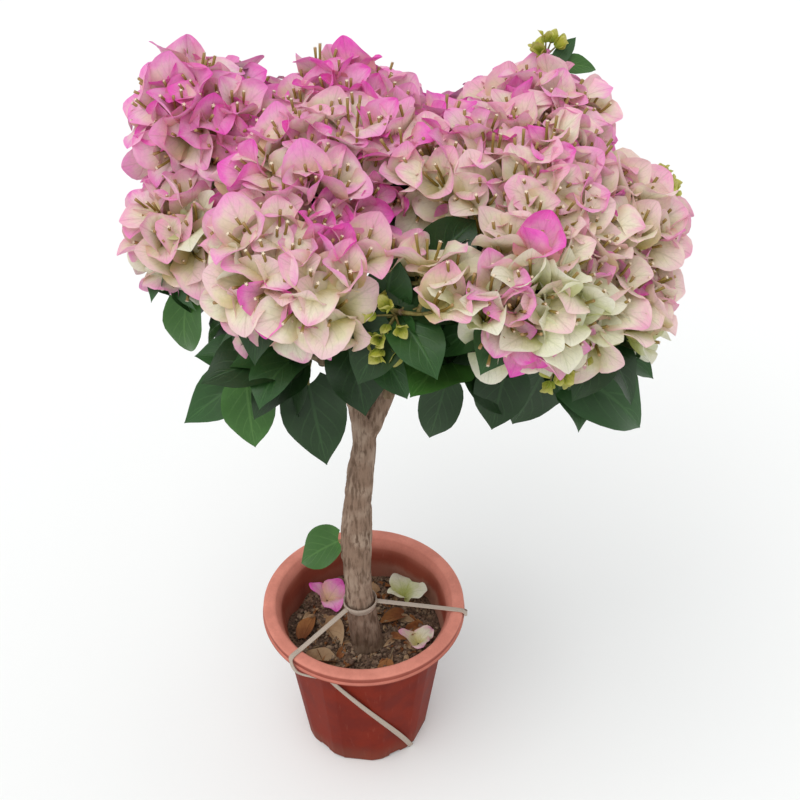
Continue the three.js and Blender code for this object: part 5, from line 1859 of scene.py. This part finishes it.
@dataclass
class Band:
    """The packing band: a loop drawn tight round the trunk and two strands over the rim to the foot."""

    pot: Pot
    width: float = 6.0
    thick: float = 0.8
    ring_height: float = 223.5
    ring_radius: float = 17.1
    slack: float = 0.5
    rims: Pair = (229.0, 351.5)
    slots: Pair = (318.0, 102.0)

    def ribbon(self, path: Array, face: Array, steps: int, closed: bool = False) -> Two:
        """A flat band along a path: at each station a rectangle, its edges eased by two more corners.

        Args:
            path: Stations, shape (n, 3).
            face: The way the band's outer side looks at each.
            steps: How many stations an open band gets, spaced evenly along a smooth curve.
            closed: True for a loop, which keeps its own stations.

        Returns:
            The grid (1, steps, 8, 3) and its UV, U across the band and V along it.
        """
        if closed:
            at, looks = path, face
            along = unit(np.roll(at, -1, axis=0) - np.roll(at, 1, axis=0))
        else:
            gap = np.concatenate([[0], np.cumsum(norm(np.diff(path, axis=0), axis=1))])
            even = np.linspace(0, 1, len(path))
            share = np.interp(np.linspace(0, gap[-1], steps), gap, even)
            at = Limb(path, (1.0,)).points(share)
            looks = np.stack([np.interp(share, even, face[:, k]) for k in range(3)], axis=1)
            along = unit(np.gradient(at, axis=0))
        up = unit(looks - dot(looks, along) * along)
        side = np.cross(up, along)
        wide, high, ease = self.width / 2, self.thick / 2, 0.22
        corners = [(-wide, -high + ease), (-wide, high - ease), (-wide + ease, high), (wide - ease, high)]
        corners += [(wide, high - ease), (wide, -high + ease), (wide - ease, -high), (-wide + ease, -high)]
        grid = np.stack([at + side * a + up * b for a, b in corners], axis=1)
        u = np.array([0, 0.02, 0.04, 0.96, 0.98, 1.0, 1.0, 0.0, 0.0])
        v = np.linspace(0, 1, len(grid) + (1 if closed else 0))
        return grid[None], np.stack(np.meshgrid(u, v), axis=-1)[None]

    def ring_centre(self) -> Array:
        """The trunk's middle at the loop's height."""
        share = np.linspace(0, 1, 2000)
        line = TRUNK.points(share)
        return line[np.argmin(np.abs(line[:, 2] - self.ring_height))]

    def strand(self, rim: float, slot: float, other: float) -> Two:
        """Stations and faces of a strand, from the loop over the rim, down the wall and under the foot."""
        pot, up = self.pot, UP
        lift = self.slack + self.thick / 2
        top = pot.height + lift
        ring = self.ring_centre()
        rim_in = polar(rim, pot.mouth + 1, top)
        leave = unit((rim_in - ring) * LEVEL)
        out = polar(rim, 1.0, 0.0)
        rows = [(ring + leave * (self.ring_radius + self.thick + 0.3), up), (rim_in, up)]
        rows += [(polar(rim, pot.rim - 3.5, top), up), (polar(rim, pot.rim + 0.4, top - 1), up + out)]
        rows += [(polar(rim, pot.rim + 0.5 + lift, top - 4), out)]
        turn = (slot - rim + 540) % 360 - 180
        low = pot.height - pot.skirt
        lip = rim + turn * 0.05
        rows.append((polar(lip, pot.rim + 2.2 + lift, low - 0.8), polar(lip, 1.0, 0.0)))
        for share in np.linspace(0, 1, 14):
            z = lerp(low - 22, 8, share**1.15)
            bearing = rim + turn * lerp(0.22, 0.97, share)
            rows.append((polar(bearing, pot.outer(z) + lift + 0.5, z), polar(bearing, 1.0, 0.0)))
        under = pot.slot[1] / 2
        mouth = polar(slot, pot.foot - 3, under)
        meet = lerp(mouth, polar(other, pot.foot - 3, under), 0.495)
        rows.append((polar(slot, pot.foot + 1.5, under), polar(slot, 1.0, 0.0) - up))
        rows += [(mouth, -up), (meet, -up)]
        return np.stack([row[0] for row in rows]), np.stack([row[1] for row in rows])

    def build(self) -> None:
        """Makes the loop, drawn as two turns side by side, and the two strands."""
        look = Strapping().material()
        centre = self.ring_centre()
        stock = Stock(True)
        for shift, radius in ((0.0, self.ring_radius), (1.6, self.ring_radius + self.thick)):
            bearings = np.arange(96) / 96 * 360
            path = centre + polar(bearings, radius + self.thick / 2, 0.0)
            path[:, 2] += shift + 1.1 * np.sin(bearings * DEG + shift)
            grid, spots = self.ribbon(path, polar(bearings, 1.0, 0.0), 96, closed=True)
            grid = np.concatenate([grid, grid[:, :1]], axis=1)
            stock.grids(grid, spots, wrap=True)
        place("band_loop", stock, look, "band", "band_ring")
        names = (("band_front_strand", "band_front"), ("band_back_strand", "band_back"))
        for k, (name, node) in enumerate(names):
            path, face = self.strand(self.rims[k], self.slots[k], self.slots[1 - k])
            grid, spots = self.ribbon(path, face, 150)
            stock = Stock(True).grids(grid, spots, wrap=True, poles=grid[:, [0, -1]].mean(axis=2))
            place(name, stock, look, "band", node)


# ---- studio


@dataclass(frozen=True)
class Studio:
    """The plain pale floor, the soft light and the camera."""

    camera_at: Triple = (57.0, -979.0, 1267.0)
    pitch: float = 38.3
    yaw: float = -0.91
    lens: float = 56.25
    floor_half: float = 4000.0
    key_from: Triple = (-0.45, -0.6, 1.4)
    key_spread: float = 50.0  # degrees across, as of a broad soft box
    key_strength: float = 1.25
    sky: str = "#F6F8FA"
    sky_strength: float = 0.84

    def floor(self) -> None:
        """A pale sheet under the pot."""
        h = self.floor_half
        corners = np.array([[(-h, -h, 0), (-h, h, 0)], [(h, -h, 0), (h, h, 0)]], float)
        mesh = Stock().grids(corners[None]).mesh("studio_floor", None)
        recipe = Recipe("studio paper")
        looks = {"Base Color": "#F4F4F2", "Roughness": 0.9, "Specular IOR Level": 0.1}
        mesh.materials.append(recipe.finish(recipe.add("BsdfPrincipled", looks)))
        put("studio_floor", mesh)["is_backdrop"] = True

    def light(self) -> None:
        """A broad key light from the upper left, and an even sky."""
        lamp = bpy.data.lights.new("key", "SUN")
        lamp.energy, lamp.angle = self.key_strength, self.key_spread * DEG
        put("key", lamp).rotation_euler = Vector(self.key_from).to_track_quat("Z", "Y").to_euler()
        world = bpy.data.worlds.new("sky")
        world.use_nodes = True
        sky = world.node_tree.nodes["Background"]
        sky.inputs["Color"].default_value = linear(self.sky)
        sky.inputs["Strength"].default_value = self.sky_strength
        bpy.context.scene.world = world

    def camera(self) -> None:
        """The camera, level, turned by its yaw and tipped down by its pitch."""
        lens = bpy.data.cameras.new("camera")
        lens.lens, lens.sensor_width = self.lens, 36.0
        lens.clip_end = 50.0
        camera = put("camera", lens)
        camera.location = Vector(self.camera_at) * MM
        camera.rotation_euler = ((90 - self.pitch) * DEG, 0, -self.yaw * DEG)
        bpy.context.scene.camera = camera

    def build(self) -> None:
        """Sets the studio up."""
        self.floor()
        self.light()
        self.camera()
        bpy.context.scene.view_settings.view_transform = "Standard"


def main(cad_box: Any) -> None:
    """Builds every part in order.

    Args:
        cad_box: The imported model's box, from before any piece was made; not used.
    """
    logging.basicConfig(level=logging.INFO, format="%(message)s")
    Studio().build()
    pot = Pot()
    pot.build()
    pot.soil()
    pot.crumbs()
    limbs = grow_limbs()
    Wood().build(limbs)
    Crown().build(limbs)
    LowShoot().build()
    Litter(pot).build()
    Band(pot).build()


if __name__ == "__main__":
    main(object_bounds())
